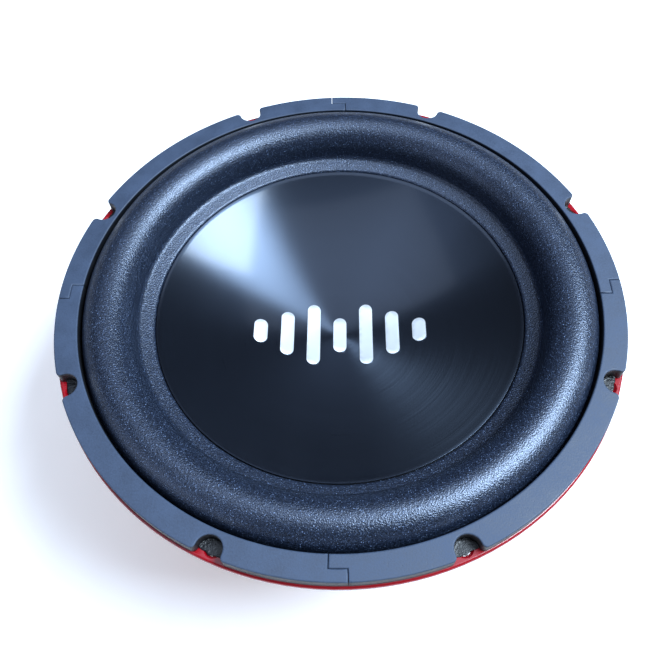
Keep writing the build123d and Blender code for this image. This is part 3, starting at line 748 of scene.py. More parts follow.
class Finishes:
    """Every finish of the driver, built once."""

    def __init__(self) -> None:
        """Build the materials."""
        # Steel pressing, sprayed and baked: deep red with soft, slightly uneven reflections.
        self.enamel = BakedEnamel(
            "red_baked_enamel", "#980e1a", 0.26, ior=1.45, coat=0.15, coat_roughness=0.08
        ).material()
        # Foam sliced open and heat-pressed: blue-black, with a grainy silver highlight along the roll; its
        # colour also holds pale painted glints, and painted shade and painted light in the cell grain.
        self.roll_foam = SparkleFoam(
            "open_sparkle_foam", "#131a28", 0.31, ior=1.85, tint="#dbe8ff"
        ).material()
        # Sheet foam stamped out with a die: an even slate blue without gloss, with painted shade making its
        # steep sides nearly black.
        self.gasket_foam = SkinnedFoam("closed_cell_foam", "#3a475d", 0.66).material()
        # Spun aluminium under black lacquer: black with one bright wedge and a faint one opposite.
        self.dish = SpunLacquer(
            "spun_black_lacquer",
            "#04060c",
            0.31,
            ior=1.8,
            coat=0.3,
            coat_roughness=0.13,
            anisotropic=0.93,
            grain_turn=0.25,
            tint="#c9deff",
        ).material()
        # Foil pressed on and coated: a flat, bright silver white.
        self.emblem = Finish("silver_foil", "#e9edf2", 0.34, metallic=0.5, coat=0.3).material()
        # Paper pulp felted on a mould: matt charcoal with visible fibres.
        self.paper = FeltedPaper("felted_cone_paper", "#20242c", 0.86).material()
        # Turned mild steel, zinc plated: cool grey with soft ring-shaped streaks.
        self.zinc = TurnedMetal("zinc_plated_steel", "#b4b9c0", 0.32, metallic=1.0).material()
        # Sintered ferrite, ground flat: a dense dark grey, half matt.
        self.ferrite = Finish("ground_ferrite", "#24262b", 0.55).material()
        # Rubber moulded in a polished tool: soft black with a slight bloom.
        self.rubber = Finish("moulded_rubber", "#15171b", 0.58, sheen=0.1).material()
        # Turned aluminium: paler and brighter than the plated steel.
        self.aluminium = TurnedMetal("turned_aluminium", "#d6d9dd", 0.26, metallic=1.0).material()
        # Cold-headed steel, zinc plated: small bright domes.
        self.rivet = Finish("zinc_rivet_steel", "#b9bdc4", 0.30, metallic=1.0).material()
        # Punched steel, chemically blackened: dull with a metal edge.
        self.screen = Finish("blackened_screen_steel", "#1a1b1e", 0.45, metallic=0.8).material()
        # Enamelled copper, close wound: warm orange ribs.
        self.copper = WoundWire("enamelled_copper_wire", "#a2522b", 0.30, metallic=1.0).material()
        # Brown wrapping paper, glued round the former: matt tan.
        self.kraft = FeltedPaper("kraft_paper", "#8d6a40", 0.80).material()
        # Cotton dipped in phenolic resin and pressed hot: amber cloth, blotched where resin pooled.
        self.cloth = PlainWeave("resin_cotton_weave", "#b98a3c", 0.78, sheen=0.15).material()
        # Moulded ABS with a fine spark texture: satin black.
        self.plastic = Finish("moulded_black_abs", "#16181c", 0.42).material()
        # ABS moulded in a polished tool: small sharp reflections.
        self.red_button = Finish("gloss_red_abs", "#b3121a", 0.22, coat=0.5).material()
        self.black_button = Finish("gloss_black_abs", "#101114", 0.22, coat=0.5).material()
        # Stamped brass, thinly tinned: pale yellow metal.
        self.brass = Finish("tinned_brass_strip", "#d9c48c", 0.28, metallic=1.0).material()
        # Hard-drawn steel wire: bright, with fine lengthwise gloss.
        self.spring = Finish("drawn_spring_wire", "#aeb2b8", 0.25, metallic=1.0).material()
        # Tinsel plaited over cotton: dull straw with a broken metal glint.
        self.braid = WoundWire(
            "tinsel_braid", "#c9bda4", 0.48, metallic=0.5, pitch=0.55 * MM, lay=Lay.PLAIT
        ).material()
        # Rubber cement, set in a blob: black and still a little wet to the eye.
        self.cement = Finish("black_rubber_cement", "#0d0e10", 0.35, coat=0.3).material()
        # The same cement, dried as a skin: black with small broken glints; over the bolt holes and up the
        # notch walls its black is painted shade.
        self.film = DriedFilm("dried_cement_film_and_painted_shade", "#07080c", 0.42, coat=0.12, coat_roughness=0.15).material()


# ------------------------------------------------------------------ cone assembly


@dataclass
class Surround:
    """The foam half roll between the cone and the frame."""

    roll_radius: float = 127.8 * MM
    half_width: float = 13.7 * MM
    held_from: float = 13.2 * MM
    foam: float = 2.4 * MM
    lip_inner: float = 105.2 * MM
    lip_outer: float = 143.9 * MM
    lip_rise: float = 0.348
    outer_lip: float = 1.5 * MM
    seat_drop: float = 2.5 * MM
    edge_round: float = 0.3 * MM
    wall_step: float = 0.8 * MM
    outer_step: float = 0.5 * MM
    foot_bend: float = 3.4 * MM
    cell_height: float = 0.035 * MM
    cell_size: float = 1.5 * MM
    segments: int = 720

    def profile(self) -> list[Point]:
        """The closed section, from the inner lip over the roll and back underneath.

        Returns:
            Points of radius and height.
        """
        low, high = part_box("surround")
        roll_z = high[2] - self.half_width
        inner, outer = self.roll_radius - self.half_width, self.roll_radius + self.half_width
        lip_z = low[2] + self.foam * math.hypot(1, self.lip_rise)
        pitch = math.degrees(math.atan(self.lip_rise))
        tangent = self.foot_bend * math.tan(math.radians((90 - pitch) / 2))
        corner_z = lip_z + (inner - self.lip_inner) * self.lip_rise
        back, down = polar(tangent, pitch)
        start = (inner - back, corner_z - down)
        centre = (inner - self.foot_bend, corner_z + tangent)
        under = self.half_width - self.foam
        foot, wall = self.roll_radius - under, self.roll_radius + under
        seat_z = roll_z - self.seat_drop
        seat_top = seat_z + self.outer_lip
        edge_steps, lip_steps, bend_steps, wall_steps, over_steps, under_steps = 2, 6, 8, 4, 44, 20
        points = between((self.lip_inner, low[2]), (self.lip_inner, lip_z - self.edge_round), edge_steps)
        points += between((self.lip_inner + self.edge_round, lip_z + self.edge_round / 3), start, lip_steps)
        points += arc(centre, self.foot_bend, pitch - 90, 0, bend_steps)
        points += between((inner, centre[1] + self.wall_step), (inner, roll_z), wall_steps)
        points += arc((self.roll_radius, roll_z), self.half_width, 180, 0, over_steps)
        points += [(outer, roll_z - self.outer_step), (outer, seat_top)]
        points += [(self.lip_outer, seat_top), (self.lip_outer, seat_z)]
        points += between((wall, seat_z), (wall, roll_z), edge_steps)
        points += arc((self.roll_radius, roll_z), under, 0, 180, under_steps)
        points += [(foot, low[2] + (foot - self.lip_inner) * self.lip_rise)]
        return points

    def build(self, finishes: Finishes) -> None:
        """Make the roll and roughen its cells.

        Args:
            finishes: the driver's finishes.
        """
        shape = turned_shape(self.profile(), self.segments)
        shape.normal_update()
        heights = [self.cell_height * noise.noise(vertex.co / self.cell_size) for vertex in shape.verts]
        for vertex, height in zip(shape.verts, heights):
            vertex.co += vertex.normal * height
        piece = mesh_piece("surround_roll", shape, finishes.roll_foam)
        stretch_across(piece)
        stand_for(piece, "surround")


@dataclass
class Dish:
    """The concave dish, part of a sphere, and the emblem on it."""

    radius: float = 104.6 * MM
    sheet: float = 1.0 * MM
    skirt: float = 1.2 * MM
    rim_radius: float = 0.12 * MM
    rim_turn: float = 60.0
    rim_steps: int = 3
    back_steps: int = 10
    knee_drop: float = 0.24 * MM
    emblem_rounding: float = 0.12 * MM
    steps: int = 56
    segments: int = 512

    def height(self, radius: float, lift: float = 0.0) -> float:
        """Height of the front face at a radius, or of a face that far in front of it.

        Args:
            radius: distance from the axis.
            lift: distance in front of the face, negative behind it.

        Returns:
            The height.
        """
        low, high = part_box("dish")
        apex_z = low[2] + self.sheet
        depth = high[2] - apex_z
        curve = (self.radius**2 + depth**2) / (2 * depth)
        return apex_z + curve - math.sqrt((curve - lift) ** 2 - radius**2)

    def face(self, start: float, end: float, steps: int, lift: float = 0.0) -> list[Point]:
        """Points on the front face, or in front of it, from one radius to another."""
        radii = [start + (end - start) * step / steps for step in range(steps + 1)]
        return [(radius, self.height(radius, lift)) for radius in radii]

    def build(self, finishes: Finishes) -> None:
        """Make the dish with an even grid, so that its turning lines stay round.

        Args:
            finishes: the driver's finishes.
        """
        edge, inside = self.radius - self.rim_radius, self.radius - self.skirt
        knee_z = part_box("surround")[0][2] - self.knee_drop
        points = self.face(0, edge, self.steps)
        centre = (edge, points[-1][1] - self.rim_radius)
        points += arc(centre, self.rim_radius, self.rim_turn, 0, self.rim_steps)
        points += [(self.radius, knee_z), (inside, knee_z)]
        points += self.face(inside, 0, self.back_steps, -self.sheet)
        piece = mesh_piece("dish_spun", turned_shape(points, self.segments), finishes.dish)
        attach(piece, Body.CONE.value)
        stand_for(piece, "dish")
        softened("emblem", self.emblem_rounding, finishes.emblem, Body.CONE)


@dataclass
class Spider:
    """The corrugated cloth ring that centres the coil."""

    neck: float = 25.6 * MM
    cloth: float = 0.6 * MM
    neck_height: float = 4.5 * MM
    wave_inner: float = 30.0 * MM
    wave_outer: float = 73.2 * MM
    half_waves: int = 8
    steps_a_half_wave: int = 8
    outer: float = 85.5 * MM
    swing: float = 2.4 * MM
    segments: int = 360

    def height(self, radius: float) -> float:
        """Height of the cloth's lower side above the ledge.

        Args:
            radius: distance from the axis.

        Returns:
            The height, which is 0 outside the waves.
        """
        if not self.wave_inner < radius < self.wave_outer:
            return 0.0
        phase = (radius - self.wave_inner) / (self.wave_outer - self.wave_inner) * self.half_waves
        return -self.swing * math.sin(math.pi * phase)

    def build(self, finishes: Finishes) -> None:
        """Make the ring.

        Args:
            finishes: the driver's finishes.
        """
        ledge_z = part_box("spider")[1][2] - self.neck_height
        cloth, neck, steps = self.cloth, self.neck, self.half_waves * self.steps_a_half_wave
        radii = [self.wave_inner + (self.wave_outer - self.wave_inner) * i / steps for i in range(steps + 1)]
        under = [(radius, self.height(radius)) for radius in radii]
        over = [(radius, height + cloth) for radius, height in reversed(under)]
        section = [(neck, 0), *under, (self.outer, 0), (self.outer, cloth), *over]
        section += [(neck + 2 * cloth, cloth), (neck + cloth, 2 * cloth)]
        section += [(neck + cloth, self.neck_height), (neck, self.neck_height)]
        points = [(radius, ledge_z + height) for radius, height in section]
        piece = mesh_piece("spider_cloth", turned_shape(points, self.segments), finishes.cloth)
        stretch_across(piece)
        stand_for(piece, "spider")


@dataclass
class Leads:
    """The braided leads that loop from the contacts to the cone."""

    radius: float = 0.8 * MM
    half_spacing: float = 7.5 * MM
    sides: int = 16
    route: tuple[Point, ...] = (
        (96.5 * MM, 84.7 * MM),
        (89.0 * MM, 84.7 * MM),
        (81.0 * MM, 80.4 * MM),
        (72.3 * MM, 78.6 * MM),
        (64.2 * MM, 81.6 * MM),
        (60.5 * MM, 88.4 * MM),
        (60.5 * MM, 95.5 * MM),
    )

    def line(self) -> list[Vector]:
        """The smooth centre line of one lead, read from a spline through the route's hull.

        Returns:
            Points in the plane of radius and height.
        """
        curve = bpy.data.curves.new("lead_line", "CURVE")
        curve.dimensions = "3D"
        spline = curve.splines.new("NURBS")
        spline.points.add(len(self.route) - 1)
        for point, (radius, height) in zip(spline.points, self.route):
            point.co = (radius, 0, height, 1)
        spline.use_endpoint_u = True
        spline.order_u = 3
        curve.resolution_u = 8
        holder = linked("lead_line", curve)
        mesh = bpy.data.meshes.new_from_object(holder)
        points = [vertex.co.copy() for vertex in mesh.vertices]
        bpy.data.objects.remove(holder)
        bpy.data.meshes.remove(mesh)
        bpy.data.curves.remove(curve)
        return points

    def tube(self, points: list[Vector], offset: float, turn: float) -> Shape:
        """A closed tube along a line that lies in one upright plane.

        Args:
            points: the centre line, in the plane of X and Z.
            offset: how far the plane stands from the axis.
            turn: the angle that the plane is turned by.

        Returns:
            The tube, with a UV map in metres around and along it.
        """
        shape = bmesh.new()
        uv = shape.loops.layers.uv.new("UVMap")
        spin = Matrix.Rotation(math.radians(turn), 4, "Z")
        rings, lengths = [], [0.0]
        for index, point in enumerate(points):
            before, after = points[max(index - 1, 0)], points[min(index + 1, len(points) - 1)]
            ahead = (after - before).normalized()
            across = Vector((0, 1, 0))
            up = ahead.cross(across)
            ring = []
            for side in range(self.sides):
                x, y = polar(self.radius, 360 * side / self.sides)
                ring.append(shape.verts.new(spin @ (point + across * (x + offset) + up * y)))
            rings.append(ring)
            if index:
                lengths.append(lengths[-1] + (point - before).length)
        for index in range(len(rings) - 1):
            for side in range(self.sides):
                after = (side + 1) % self.sides
                ring, following = rings[index], rings[index + 1]
                face = shape.faces.new((ring[side], following[side], following[after], ring[after]))
                places = ((side, index), (side, index + 1), (side + 1, index + 1), (side + 1, index))
                for loop, (around, along) in zip(face.loops, places):
                    loop[uv].uv = (around / self.sides * math.tau * self.radius, lengths[along])
        shape.faces.new(rings[0])
        shape.faces.new(list(reversed(rings[-1])))
        return shape

    def build(self, finishes: Finishes) -> None:
        """Make the four leads, each bending from its contact to its pad.

        Args:
            finishes: the driver's finishes.
        """
        points = self.line()
        for name, way, turn in (("a", 1, 0.0), ("b", -1, 180.0)):
            for pole, side in POLES:
                shape = self.tube(points, side * self.half_spacing, turn)
                piece = mesh_piece(f"lead_{name}_{pole}", shape, finishes.braid)
                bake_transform(piece)
                stand_for(piece, f"tinsel_lead_{name}_{pole}")


# ------------------------------------------------------------------ frame and gasket


@dataclass
class Gasket:
    """The foam ring in four lapped segments, notched over each bolt hole."""

    outer: float = 155.0 * MM
    bore: float = 142.5 * MM
    count: int = 4
    lap: float = 149.0 * MM
    lap_angle: float = 1.7
    gap_angle: float = 0.05
    notch: float = 6.5 * MM
    notch_centre: float = 152.0 * MM
    mouth: float = 2.3 * MM
    notches: int = 2
    first_notch: float = 22.5
    notch_step: float = 45.0
    rounding: float = 0.7 * MM
    step_angle: float = 0.75
    mouth_steps: int = 6
    notch_steps: int = 18

    def notch_outline(self, angle: float) -> list[Point]:
        """The edge of one notch, from one side of its mouth to the other.

        Args:
            angle: where the notch is.

        Returns:
            Points in the plane, anticlockwise round the gasket.
        """
        side = self.notch + self.mouth
        centre_x = math.sqrt((self.outer - self.mouth) ** 2 - side**2)
        lean = math.degrees(math.atan2(side, centre_x))
        points = arc((centre_x, -side), self.mouth, -lean, 90, self.mouth_steps)
        points += arc((self.notch_centre, 0), self.notch, 270, 90, self.notch_steps)
        points += arc((centre_x, side), self.mouth, -90, lean, self.mouth_steps)
        turn = Matrix.Rotation(math.radians(angle), 2)
        return [tuple(turn @ Vector(point)) for point in points]

    def ring_arc(self, radius: float, start: float, end: float) -> list[Point]:
        """Points round the axis, evenly spaced."""
        return arc((0, 0), radius, start, end, max(2, round(abs(end - start) / self.step_angle)))

    def outline(self, index: int) -> list[Point]:
        """The plan of one segment.

        Args:
            index: which segment it is.

        Returns:
            Its closed outline, anticlockwise.
        """
        share = 360.0 / self.count
        start, end = share * index + self.gap_angle, share * (index + 1) - self.gap_angle
        half_mouth = math.degrees(math.asin((self.notch + self.mouth) / (self.outer - self.mouth)))
        points, reached = [], start + self.lap_angle
        for step in range(self.notches):
            angle = share * index + self.first_notch + step * self.notch_step
            first = 1 if points else 0
            points += self.ring_arc(self.outer, reached, angle - half_mouth)[first:-1]
            points += self.notch_outline(angle)
            reached = angle + half_mouth
        points += self.ring_arc(self.outer, reached, end + self.lap_angle)[1:]
        points += self.ring_arc(self.lap, end + self.lap_angle, end - self.lap_angle)
        points += self.ring_arc(self.bore, end - self.lap_angle, start - self.lap_angle)
        points += self.ring_arc(self.lap, start - self.lap_angle, start + self.lap_angle)
        return points

    def build(self, finishes: Finishes) -> None:
        """Make the four segments, with the edges that the die left softly rounded.

        Args:
            finishes: the driver's finishes.
        """
        for index in range(self.count):
            node = f"gasket_segment_{index + 1}"
            low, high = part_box(node)
            shape = rounded_slab(self.outline(index), low[2], high[2], self.rounding)
            piece = mesh_piece(f"{node}_foam", shape, finishes.gasket_foam)
            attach(piece, Body.FRAME.value)
            stand_for(piece, node)


@dataclass
class CementFilmAndShadeSheet:
    """Dried cement under the gasket, which shows in each notch; where it skins over part of the bolt hole and
    climbs the notch wall, its black sheet is painted shade.
    """

    notch_centre: float = 152.0 * MM
    notch: float = 6.5 * MM
    inner: float = 144.2 * MM
    # How far the sheet reaches over the bolt hole; there its black is painted shade.
    reach: float = 152.9 * MM
    half_width: float = 6.25 * MM
    thickness: float = 0.3 * MM
    bond: float = 0.02 * MM
    # Climb up the notch wall; there too the black is painted shade.
    rise: float = 1.5 * MM
    wall: float = 0.8 * MM
    tear: float = 1.9 * MM
    tear_depth: float = 0.6 * MM
    taper: float = 0.12
    tear_seed: float = 7.3
    crumple: float = 1.1 * MM
    crumple_seed: float = 9 * MM
    swell: float = 0.10 * MM
    swell_lift: float = 0.12 * MM
    first: float = 22.5
    count: int = 8
    columns: int = 28
    rows: int = 14

    def spot(self, index: int, row: int, column: int, top: bool) -> Vector:
        """One point of a film, before it is turned to its notch.

        Args:
            index: which notch the film lies in, which also picks its ragged edge.
            row: the point's place outwards from the axis.
            column: its place across the notch.
            top: whether it is on the upper side.

        Returns:
            The point, with its height above the flange.
        """
        across = self.half_width * (2 * column / self.columns - 1)
        ragged = noise.noise(Vector((across / self.tear, index * self.tear_seed, 0.5)))
        end = self.reach + self.tear_depth * ragged - abs(across) * self.taper
        along = self.inner + (end - self.inner) * row / self.rows
        reach = math.hypot(along - self.notch_centre, across)
        height = self.thickness if top else self.bond
        if reach <= self.notch:
            crumple = noise.noise(Vector((along, across, index * self.crumple_seed)) / self.crumple)
            height += self.rise * smoothstep((reach - self.notch + self.wall) / self.wall)
            height += (self.swell * crumple + self.swell_lift) * top
        return Vector((along, across, height))

    def patch(self, index: int) -> Shape:
        """One film: a ragged sheet that climbs the notch's wall a little; over the bolt hole and on the wall
        it is painted shade.

        Args:
            index: which notch it lies in.

        Returns:
            The sheet as a closed thin mesh.
        """
        spin = Matrix.Rotation(math.radians(self.first + index * 360.0 / self.count), 4, "Z")
        spin.translation.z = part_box("gasket_segment_1")[0][2]
        shape = bmesh.new()
        rows, columns = range(self.rows + 1), range(self.columns + 1)
        places = [[(index, row, column) for column in columns] for row in rows]
        lower, upper = (
            [[shape.verts.new(spin @ self.spot(*place, top)) for place in line] for line in places]
            for top in (False, True)
        )
        for grid in (lower, upper):
            for near, far in zip(grid, grid[1:]):
                for corners in zip(near, far, far[1:], near[1:]):
                    shape.faces.new(corners)
        low, high = (self.rim(grid) for grid in (lower, upper))
        for corners in zip(low, low[1:] + low[:1], high[1:] + high[:1], high):
            shape.faces.new(corners)
        return shape

    def rim(self, grid: list[list[bmesh.types.BMVert]]) -> list[bmesh.types.BMVert]:
        """The points round a grid's edge, in order."""
        sides = [line[-1] for line in grid[:-1]], [line[0] for line in grid[:0:-1]]
        return grid[0][:-1] + sides[0] + grid[-1][:0:-1] + sides[1]

    def build(self, finishes: Finishes) -> None:
        """Lay a film in every notch.

        Args:
            finishes: the driver's finishes.
        """
        for index in range(self.count):
            piece = mesh_piece(f"cement_and_shade_film_{index + 1}", self.patch(index), finishes.film)
            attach(piece, Body.FRAME.value)
            take_slot(piece)


@dataclass
class PressedDetails:
    """Rolled window edges and spoke ribs of the frame."""

    spoke_foot: Point = (87.0 * MM, 65.5 * MM)
    spoke_top: Point = (133.5 * MM, 113.0 * MM)
    sheet: float = 1.2 * MM
    spokes: int = 8
    spoke_width: float = 30.0 * MM
    window_inner: float = 92.0 * MM
    window_outer: float = 129.0 * MM
    side_steps: int = 14
    end_steps: int = 24
    corner_passes: int = 14
    bead: float = 1.15 * MM
    bead_sides: int = 10
    rib_radius: float = 2.6 * MM
    rib_span: Point = (97.0 * MM, 124.0 * MM)
    rib_sink: float = 0.2

    def slope(self) -> float:
        """Rise of a spoke for each unit of radius."""
        return (self.spoke_top[1] - self.spoke_foot[1]) / (self.spoke_top[0] - self.spoke_foot[0])

    def height(self, radius: float) -> float:
        """Height of the middle of the sheet at a radius."""
        middle = self.sheet / 2 * math.hypot(1, self.slope())
        return self.spoke_foot[1] + (radius - self.spoke_foot[0]) * self.slope() - middle

    def window_line(self) -> bpy.types.Mesh:
        """The outline of the first window as a closed run of edges on the sheet.

        Returns:
            A mesh of edges alone.
        """
        step = 360.0 / self.spokes
        radii = (self.window_inner, self.window_outer)
        near, far = (math.degrees(math.asin(self.spoke_width / 2 / radius)) for radius in radii)
        plan = between(polar(radii[0], near), polar(radii[1], far), self.side_steps)
        plan += arc((0, 0), radii[1], far, step - far, self.end_steps)[:-1]
        plan += between(polar(radii[1], step - far), polar(radii[0], step - near), self.side_steps)
        plan += arc((0, 0), radii[0], step - near, near, self.end_steps)[:-1]
        plan = self.rounded(plan)
        verts = [(x, y, self.height(math.hypot(x, y))) for x, y in plan]
        edges = [(i, (i + 1) % len(verts)) for i in range(len(verts))]
        mesh = bpy.data.meshes.new("window_line")
        mesh.from_pydata(verts, edges, [])
        return mesh

    def rounded(self, plan: list[Point]) -> list[Point]:
        """Round the corners of a closed line by repeated averaging, to a radius of about 6 mm.

        Args:
            plan: the line's points.

        Returns:
            As many points.
        """
        for _ in range(self.corner_passes):
            plan = [
                ((a[0] + 2 * b[0] + c[0]) / 4, (a[1] + 2 * b[1] + c[1]) / 4)
                for a, b, c in zip(plan[-1:] + plan[:-1], plan, plan[1:] + plan[:1])
            ]
        return plan

    def rib_line(self) -> bpy.types.Mesh:
        """The line of a rib along the outside of a spoke at angle 0.

        Returns:
            A mesh of edges alone.
        """
        steps = 12
        inner, outer = self.rib_span
        radii = [inner + (outer - inner) * step / steps for step in range(steps + 1)]
        verts = [(radius, 0, self.height(radius) - self.sheet * self.rib_sink) for radius in radii]
        mesh = bpy.data.meshes.new("rib_line")
        mesh.from_pydata(verts, [(step, step + 1) for step in range(steps)], [])
        return mesh

    def swept_tree(self, name: str, material: Material) -> Tree:
        """A tree that rolls a line into a round bead and repeats it about the axis.

        Args:
            name: the tree's name.
            material: the bead's finish.

        Returns:
            The tree, with inputs Radius, Count, First Angle and Step Angle.
        """
        tree = bpy.data.node_groups.new(name, "GeometryNodeTree")
        inputs = {"Geometry": "Geometry", "Radius": "Float", "Count": "Int"}
        inputs |= {"First Angle": "Float", "Step Angle": "Float"}
        for label, kind in inputs.items():
            tree.interface.new_socket(label, in_out="INPUT", socket_type=f"NodeSocket{kind}")
        tree.interface.new_socket("Geometry", in_out="OUTPUT", socket_type="NodeSocketGeometry")
        given = add_node(tree, "NodeGroupInput").outputs
        line = add_node(tree, "GeometryNodeMeshToCurve", {}, {"Mesh": given["Geometry"]}).outputs["Curve"]
        sides, size = {"Resolution": self.bead_sides}, {"Radius": given["Radius"]}
        ring = add_node(tree, "GeometryNodeCurvePrimitiveCircle", sides, size).outputs["Curve"]
        swept = {"Curve": line, "Profile Curve": ring}
        bead = add_node(tree, "GeometryNodeCurveToMesh", {"Fill Caps": True}, swept).outputs["Mesh"]
        spots = add_node(tree, "GeometryNodePoints", {}, {"Count": given["Count"]}).outputs[0]
        index = add_node(tree, "GeometryNodeInputIndex").outputs["Index"]
        terms = {0: index, 1: given["Step Angle"], 2: given["First Angle"]}
        angle = add_node(tree, "ShaderNodeMath", {}, terms, operation="MULTIPLY_ADD").outputs["Value"]
        turn = add_node(tree, "ShaderNodeCombineXYZ", {}, {"Z": angle}).outputs["Vector"]
        laid = {"Points": spots, "Instance": bead, "Rotation": turn}
        copies = add_node(tree, "GeometryNodeInstanceOnPoints", {}, laid).outputs["Instances"]
        solid = add_node(tree, "GeometryNodeRealizeInstances", {}, {"Geometry": copies}).outputs["Geometry"]
        dressed = add_node(tree, "GeometryNodeSetMaterial", {"Material": material}, {"Geometry": solid})
        add_node(tree, "NodeGroupOutput", {}, {"Geometry": dressed.outputs["Geometry"]})
        return tree

    def swept(self, name: str, line: bpy.types.Mesh, tree: Tree, sizes: dict[str, float]) -> None:
        """Run the tree on a line and keep the result as a plain piece on the frame.

        Args:
            name: the piece's name.
            line: a mesh of edges.
            tree: the tree from swept_tree.
            sizes: values of the tree's inputs by name.
        """
        holder = linked(f"{name}_line", line)
        modifier = holder.modifiers.new("Bead", "NODES")
        modifier.node_group = tree
        for socket in tree.interface.items_tree:
            if socket.in_out == "INPUT" and socket.name in sizes:
                modifier[socket.identifier] = sizes[socket.name]
        mesh = bpy.data.meshes.new_from_object(holder.evaluated_get(bpy.context.evaluated_depsgraph_get()))
        bpy.data.objects.remove(holder)
        mesh.shade_smooth()
        piece = linked(name, mesh)
        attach(piece, Body.FRAME.value)
        take_slot(piece)

    def build(self, finishes: Finishes) -> None:
        """Roll the windows' edges and press ribs into the spokes that hold no terminals.

        Args:
            finishes: the driver's finishes.
        """
        tree = self.swept_tree("rolled_bead", finishes.enamel)
        step = math.tau / self.spokes
        rolled = {"Radius": self.bead, "Count": self.spokes, "First Angle": 0.0, "Step Angle": step}
        self.swept("window_edges", self.window_line(), tree, rolled)
        between_terminals = self.spokes // 2 - 1
        for side, first in (("near", math.pi + step), ("far", step)):
            ribs = {"Radius": self.rib_radius, "Count": between_terminals}
            ribs |= {"First Angle": first, "Step Angle": step}
            self.swept(f"spoke_ribs_{side}", self.rib_line(), tree, ribs)


# ------------------------------------------------------------------ terminals


@dataclass
class Terminals:
    """The two push-terminal blocks and what moves in them."""

    pocket_floor: float = 108.55 * MM
    button_back: float = 114.9 * MM
    button_z: float = 79.0 * MM
    half_spacing: float = 7.5 * MM
    coil_radius: float = 2.6 * MM
    wire: float = 0.3 * MM
    turns: float = 4.5
    steps_a_turn: int = 16
    travel: float = 2.5 * MM
    block_rounding: float = 0.35 * MM
    cover_rounding: float = 0.25 * MM

    def spring(self, name: str, way: float, y: float, finishes: Finishes) -> Piece:
        """A coil spring along X behind one button.

        Args:
            name: the piece's name.
            way: 1 for the block at +X, -1 for the other.
            y: the button's place across the block, before the block is turned.
            finishes: the driver's finishes.

        Returns:
            The spring as a mesh.
        """
        curve = bpy.data.curves.new(name, "CURVE")
        curve.dimensions = "3D"
        curve.bevel_depth = self.wire
        curve.bevel_resolution = 3
        curve.use_fill_caps = True
        spline = curve.splines.new("POLY")
        steps = round(self.turns * self.steps_a_turn)
        length = self.button_back - self.pocket_floor - 2 * self.wire
        spline.points.add(steps)
        for index, point in enumerate(spline.points):
            share = index / steps
            side, up = polar(self.coil_radius, 360 * self.turns * share)
            x = self.pocket_floor + self.wire + length * share
            point.co = (way * x, way * (y + side), self.button_z + up, 1)
        holder = linked(f"{name}_line", curve)
        mesh = bpy.data.meshes.new_from_object(holder)
        bpy.data.objects.remove(holder)
        mesh.materials.clear()
        mesh.materials.append(finishes.spring)
        return linked(name, mesh)

    def build(self, finishes: Finishes) -> None:
        """Dress both blocks, their covers, contacts and buttons, and wind the springs.

        Args:
            finishes: the driver's finishes.
        """
        for name, way in (("a", 1.0), ("b", -1.0)):
            softened(f"terminal_block_{name}", self.block_rounding, finishes.plastic, Body.FRAME)
            softened(f"terminal_cover_{name}", self.cover_rounding, finishes.plastic, Body.FRAME)
            finish_cad(f"terminal_contacts_{name}", finishes.brass)
            for pole, side in POLES:
                colour = finishes.red_button if pole == "positive" else finishes.black_button
                finish_cad(f"button_{name}_{pole}", colour)
                piece = self.spring(f"spring_{name}_{pole}", way, side * self.half_spacing, finishes)
                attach(piece, Body.FRAME.value)
                stand_for(piece, f"button_spring_{name}_{pole}")
                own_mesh(piece)


# ------------------------------------------------------------------ studio


@dataclass(frozen=True)
class SoftBox:
    """A rectangular light that faces the driver."""

    name: str
    centre: tuple[float, float, float]
    size: Point
    power: float
    colour: str

    def hang(self) -> None:
        """Hang the light at its place."""
        data = bpy.data.lights.new(self.name, "AREA")
        data.shape = "RECTANGLE"
        data.size, data.size_y = self.size
        data.energy = self.power
        data.color = linear(self.colour)[:3]
        light = linked(self.name, data)
        aim = Vector((0, 0, CAD_BOX[1][2])) - Vector(self.centre)
        light.rotation_euler = aim.to_track_quat("-Z", "Y").to_euler()
        light.location = self.centre


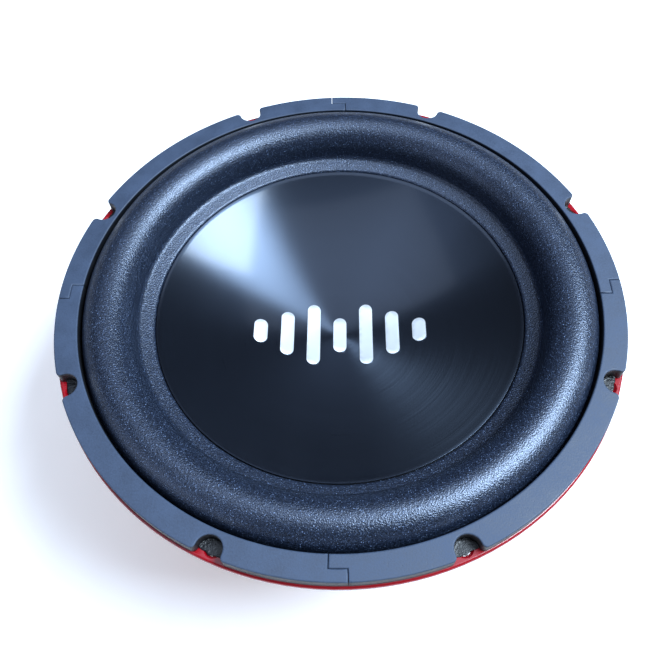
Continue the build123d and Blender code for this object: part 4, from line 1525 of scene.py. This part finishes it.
@dataclass(frozen=True)
class Studio:
    """Camera, soft lights and a pale floor."""

    elevation: float = 59.2935
    roll: float = -2.6103
    turn: float = 2.5
    distance: float = 373.58 * MM
    shift_right: float = -2.126 * MM
    shift_up: float = -25.322 * MM
    lens: float = 36.464
    sensor: float = 36.0
    nearest: float = 10 * MM
    lights: tuple[SoftBox, ...] = (
        SoftBox("key", (0.95, -0.05, 1.55), (0.9, 0.62), 62.0, "#d9edff"),
        SoftBox("overhead", (-0.05, 0.25, 2.2), (2.2, 1.6), 22.0, "#d2e4ff"),
        SoftBox("left_fill", (-1.6, -0.9, 0.9), (1.2, 1.0), 6.0, "#cfe0ff"),
    )
    floor_size: float = 14.0
    floor_colour: str = "#f7f8fa"
    floor_glow: float = 0.4
    air_colour: str = "#dfe7f5"
    air_light: float = 0.10
    air_seen: float = 0.86

    def camera(self) -> None:
        """Stand the camera above and in front of the gasket's centre, and look down at it."""
        tilt, lean = math.radians(self.elevation), math.radians(self.roll)
        back = Vector((0, -math.cos(tilt), math.sin(tilt)))
        right = Vector((1, 0, 0))
        up = back.cross(right)
        leaned_right = right * math.cos(lean) + up * math.sin(lean)
        leaned_up = up * math.cos(lean) - right * math.sin(lean)
        centre = Vector((0, 0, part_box("gasket_segment_1")[1][2]))
        eye = back * self.distance + leaned_right * self.shift_right + leaned_up * self.shift_up
        spin = Matrix.Rotation(math.radians(self.turn), 4, "Z")
        axes = Matrix((leaned_right, leaned_up, back)).transposed().to_4x4()
        data = bpy.data.cameras.new("camera")
        data.sensor_width = self.sensor
        data.lens = self.lens
        data.clip_start = self.nearest
        camera = linked("camera", data)
        camera.matrix_world = Matrix.Translation(centre + spin @ eye) @ spin @ axes
        bpy.context.scene.camera = camera

    def build(self) -> None:
        """Set up the whole studio."""
        self.camera()
        for light in self.lights:
            light.hang()
        self.air()
        self.floor()
        bpy.context.scene.view_settings.view_transform = "Standard"

    def air(self) -> None:
        """Surround the studio with dim light that looks pale behind the driver."""
        world = bpy.data.worlds.new("studio_air")
        world.use_nodes = True
        tree = world.node_tree
        backdrop = tree.nodes["Background"]
        backdrop.inputs["Color"].default_value = linear(self.air_colour)
        seen = {0: add_node(tree, "ShaderNodeLightPath").outputs["Is Camera Ray"]}
        levels = {1: self.air_seen - self.air_light, 2: self.air_light}
        strength = add_node(tree, "ShaderNodeMath", levels, seen, operation="MULTIPLY_ADD")
        tree.links.new(strength.outputs["Value"], backdrop.inputs["Strength"])
        bpy.context.scene.world = world

    def floor(self) -> None:
        """Lay a pale matt floor that glows a little, so that shadows on it stay light."""
        half = self.floor_size / 2
        shape = bmesh.new()
        corners = ((-half, -half), (half, -half), (half, half), (-half, half))
        shape.faces.new([shape.verts.new((x, y, 0)) for x, y in corners])
        paint = Finish("matt_floor_paint", self.floor_colour, 0.9).material()
        shader = next(node for node in paint.node_tree.nodes if node.type == "BSDF_PRINCIPLED")
        shader.inputs["Emission Color"].default_value = linear(self.floor_colour)
        shader.inputs["Emission Strength"].default_value = self.floor_glow
        mesh_piece("floor", shape, paint)


# ------------------------------------------------------------------ the driver


def dress_metalwork(finishes: Finishes) -> None:
    """Finish the nodes whose shapes are carried over as they are.

    Args:
        finishes: the driver's finishes.
    """
    for node, material in {
        "basket": finishes.enamel,
        "frame_rivets": finishes.rivet,
        "terminal_rivets": finishes.rivet,
        "top_plate": finishes.zinc,
        "yoke": finishes.zinc,
        "magnet_front": finishes.ferrite,
        "magnet_rear": finishes.ferrite,
        "shorting_ring": finishes.aluminium,
        "magnet_boot": finishes.rubber,
        "vent_screen": finishes.screen,
        "cone": finishes.paper,
        "former": finishes.aluminium,
        "winding_inner": finishes.copper,
        "winding_outer": finishes.copper,
        "coil_collar": finishes.kraft,
        "lead_pads": finishes.cement,
    }.items():
        finish_cad(node, material)


def main() -> None:
    """Build the studio and every piece."""
    logging.basicConfig(level=logging.INFO, format="%(name)s: %(message)s")
    finishes = Finishes()
    Studio().build()
    dress_metalwork(finishes)
    for section in (Surround, Dish, Spider, Leads, Gasket, CementFilmAndShadeSheet, PressedDetails, Terminals):
        section().build(finishes)


if __name__ == "__main__":
    main()
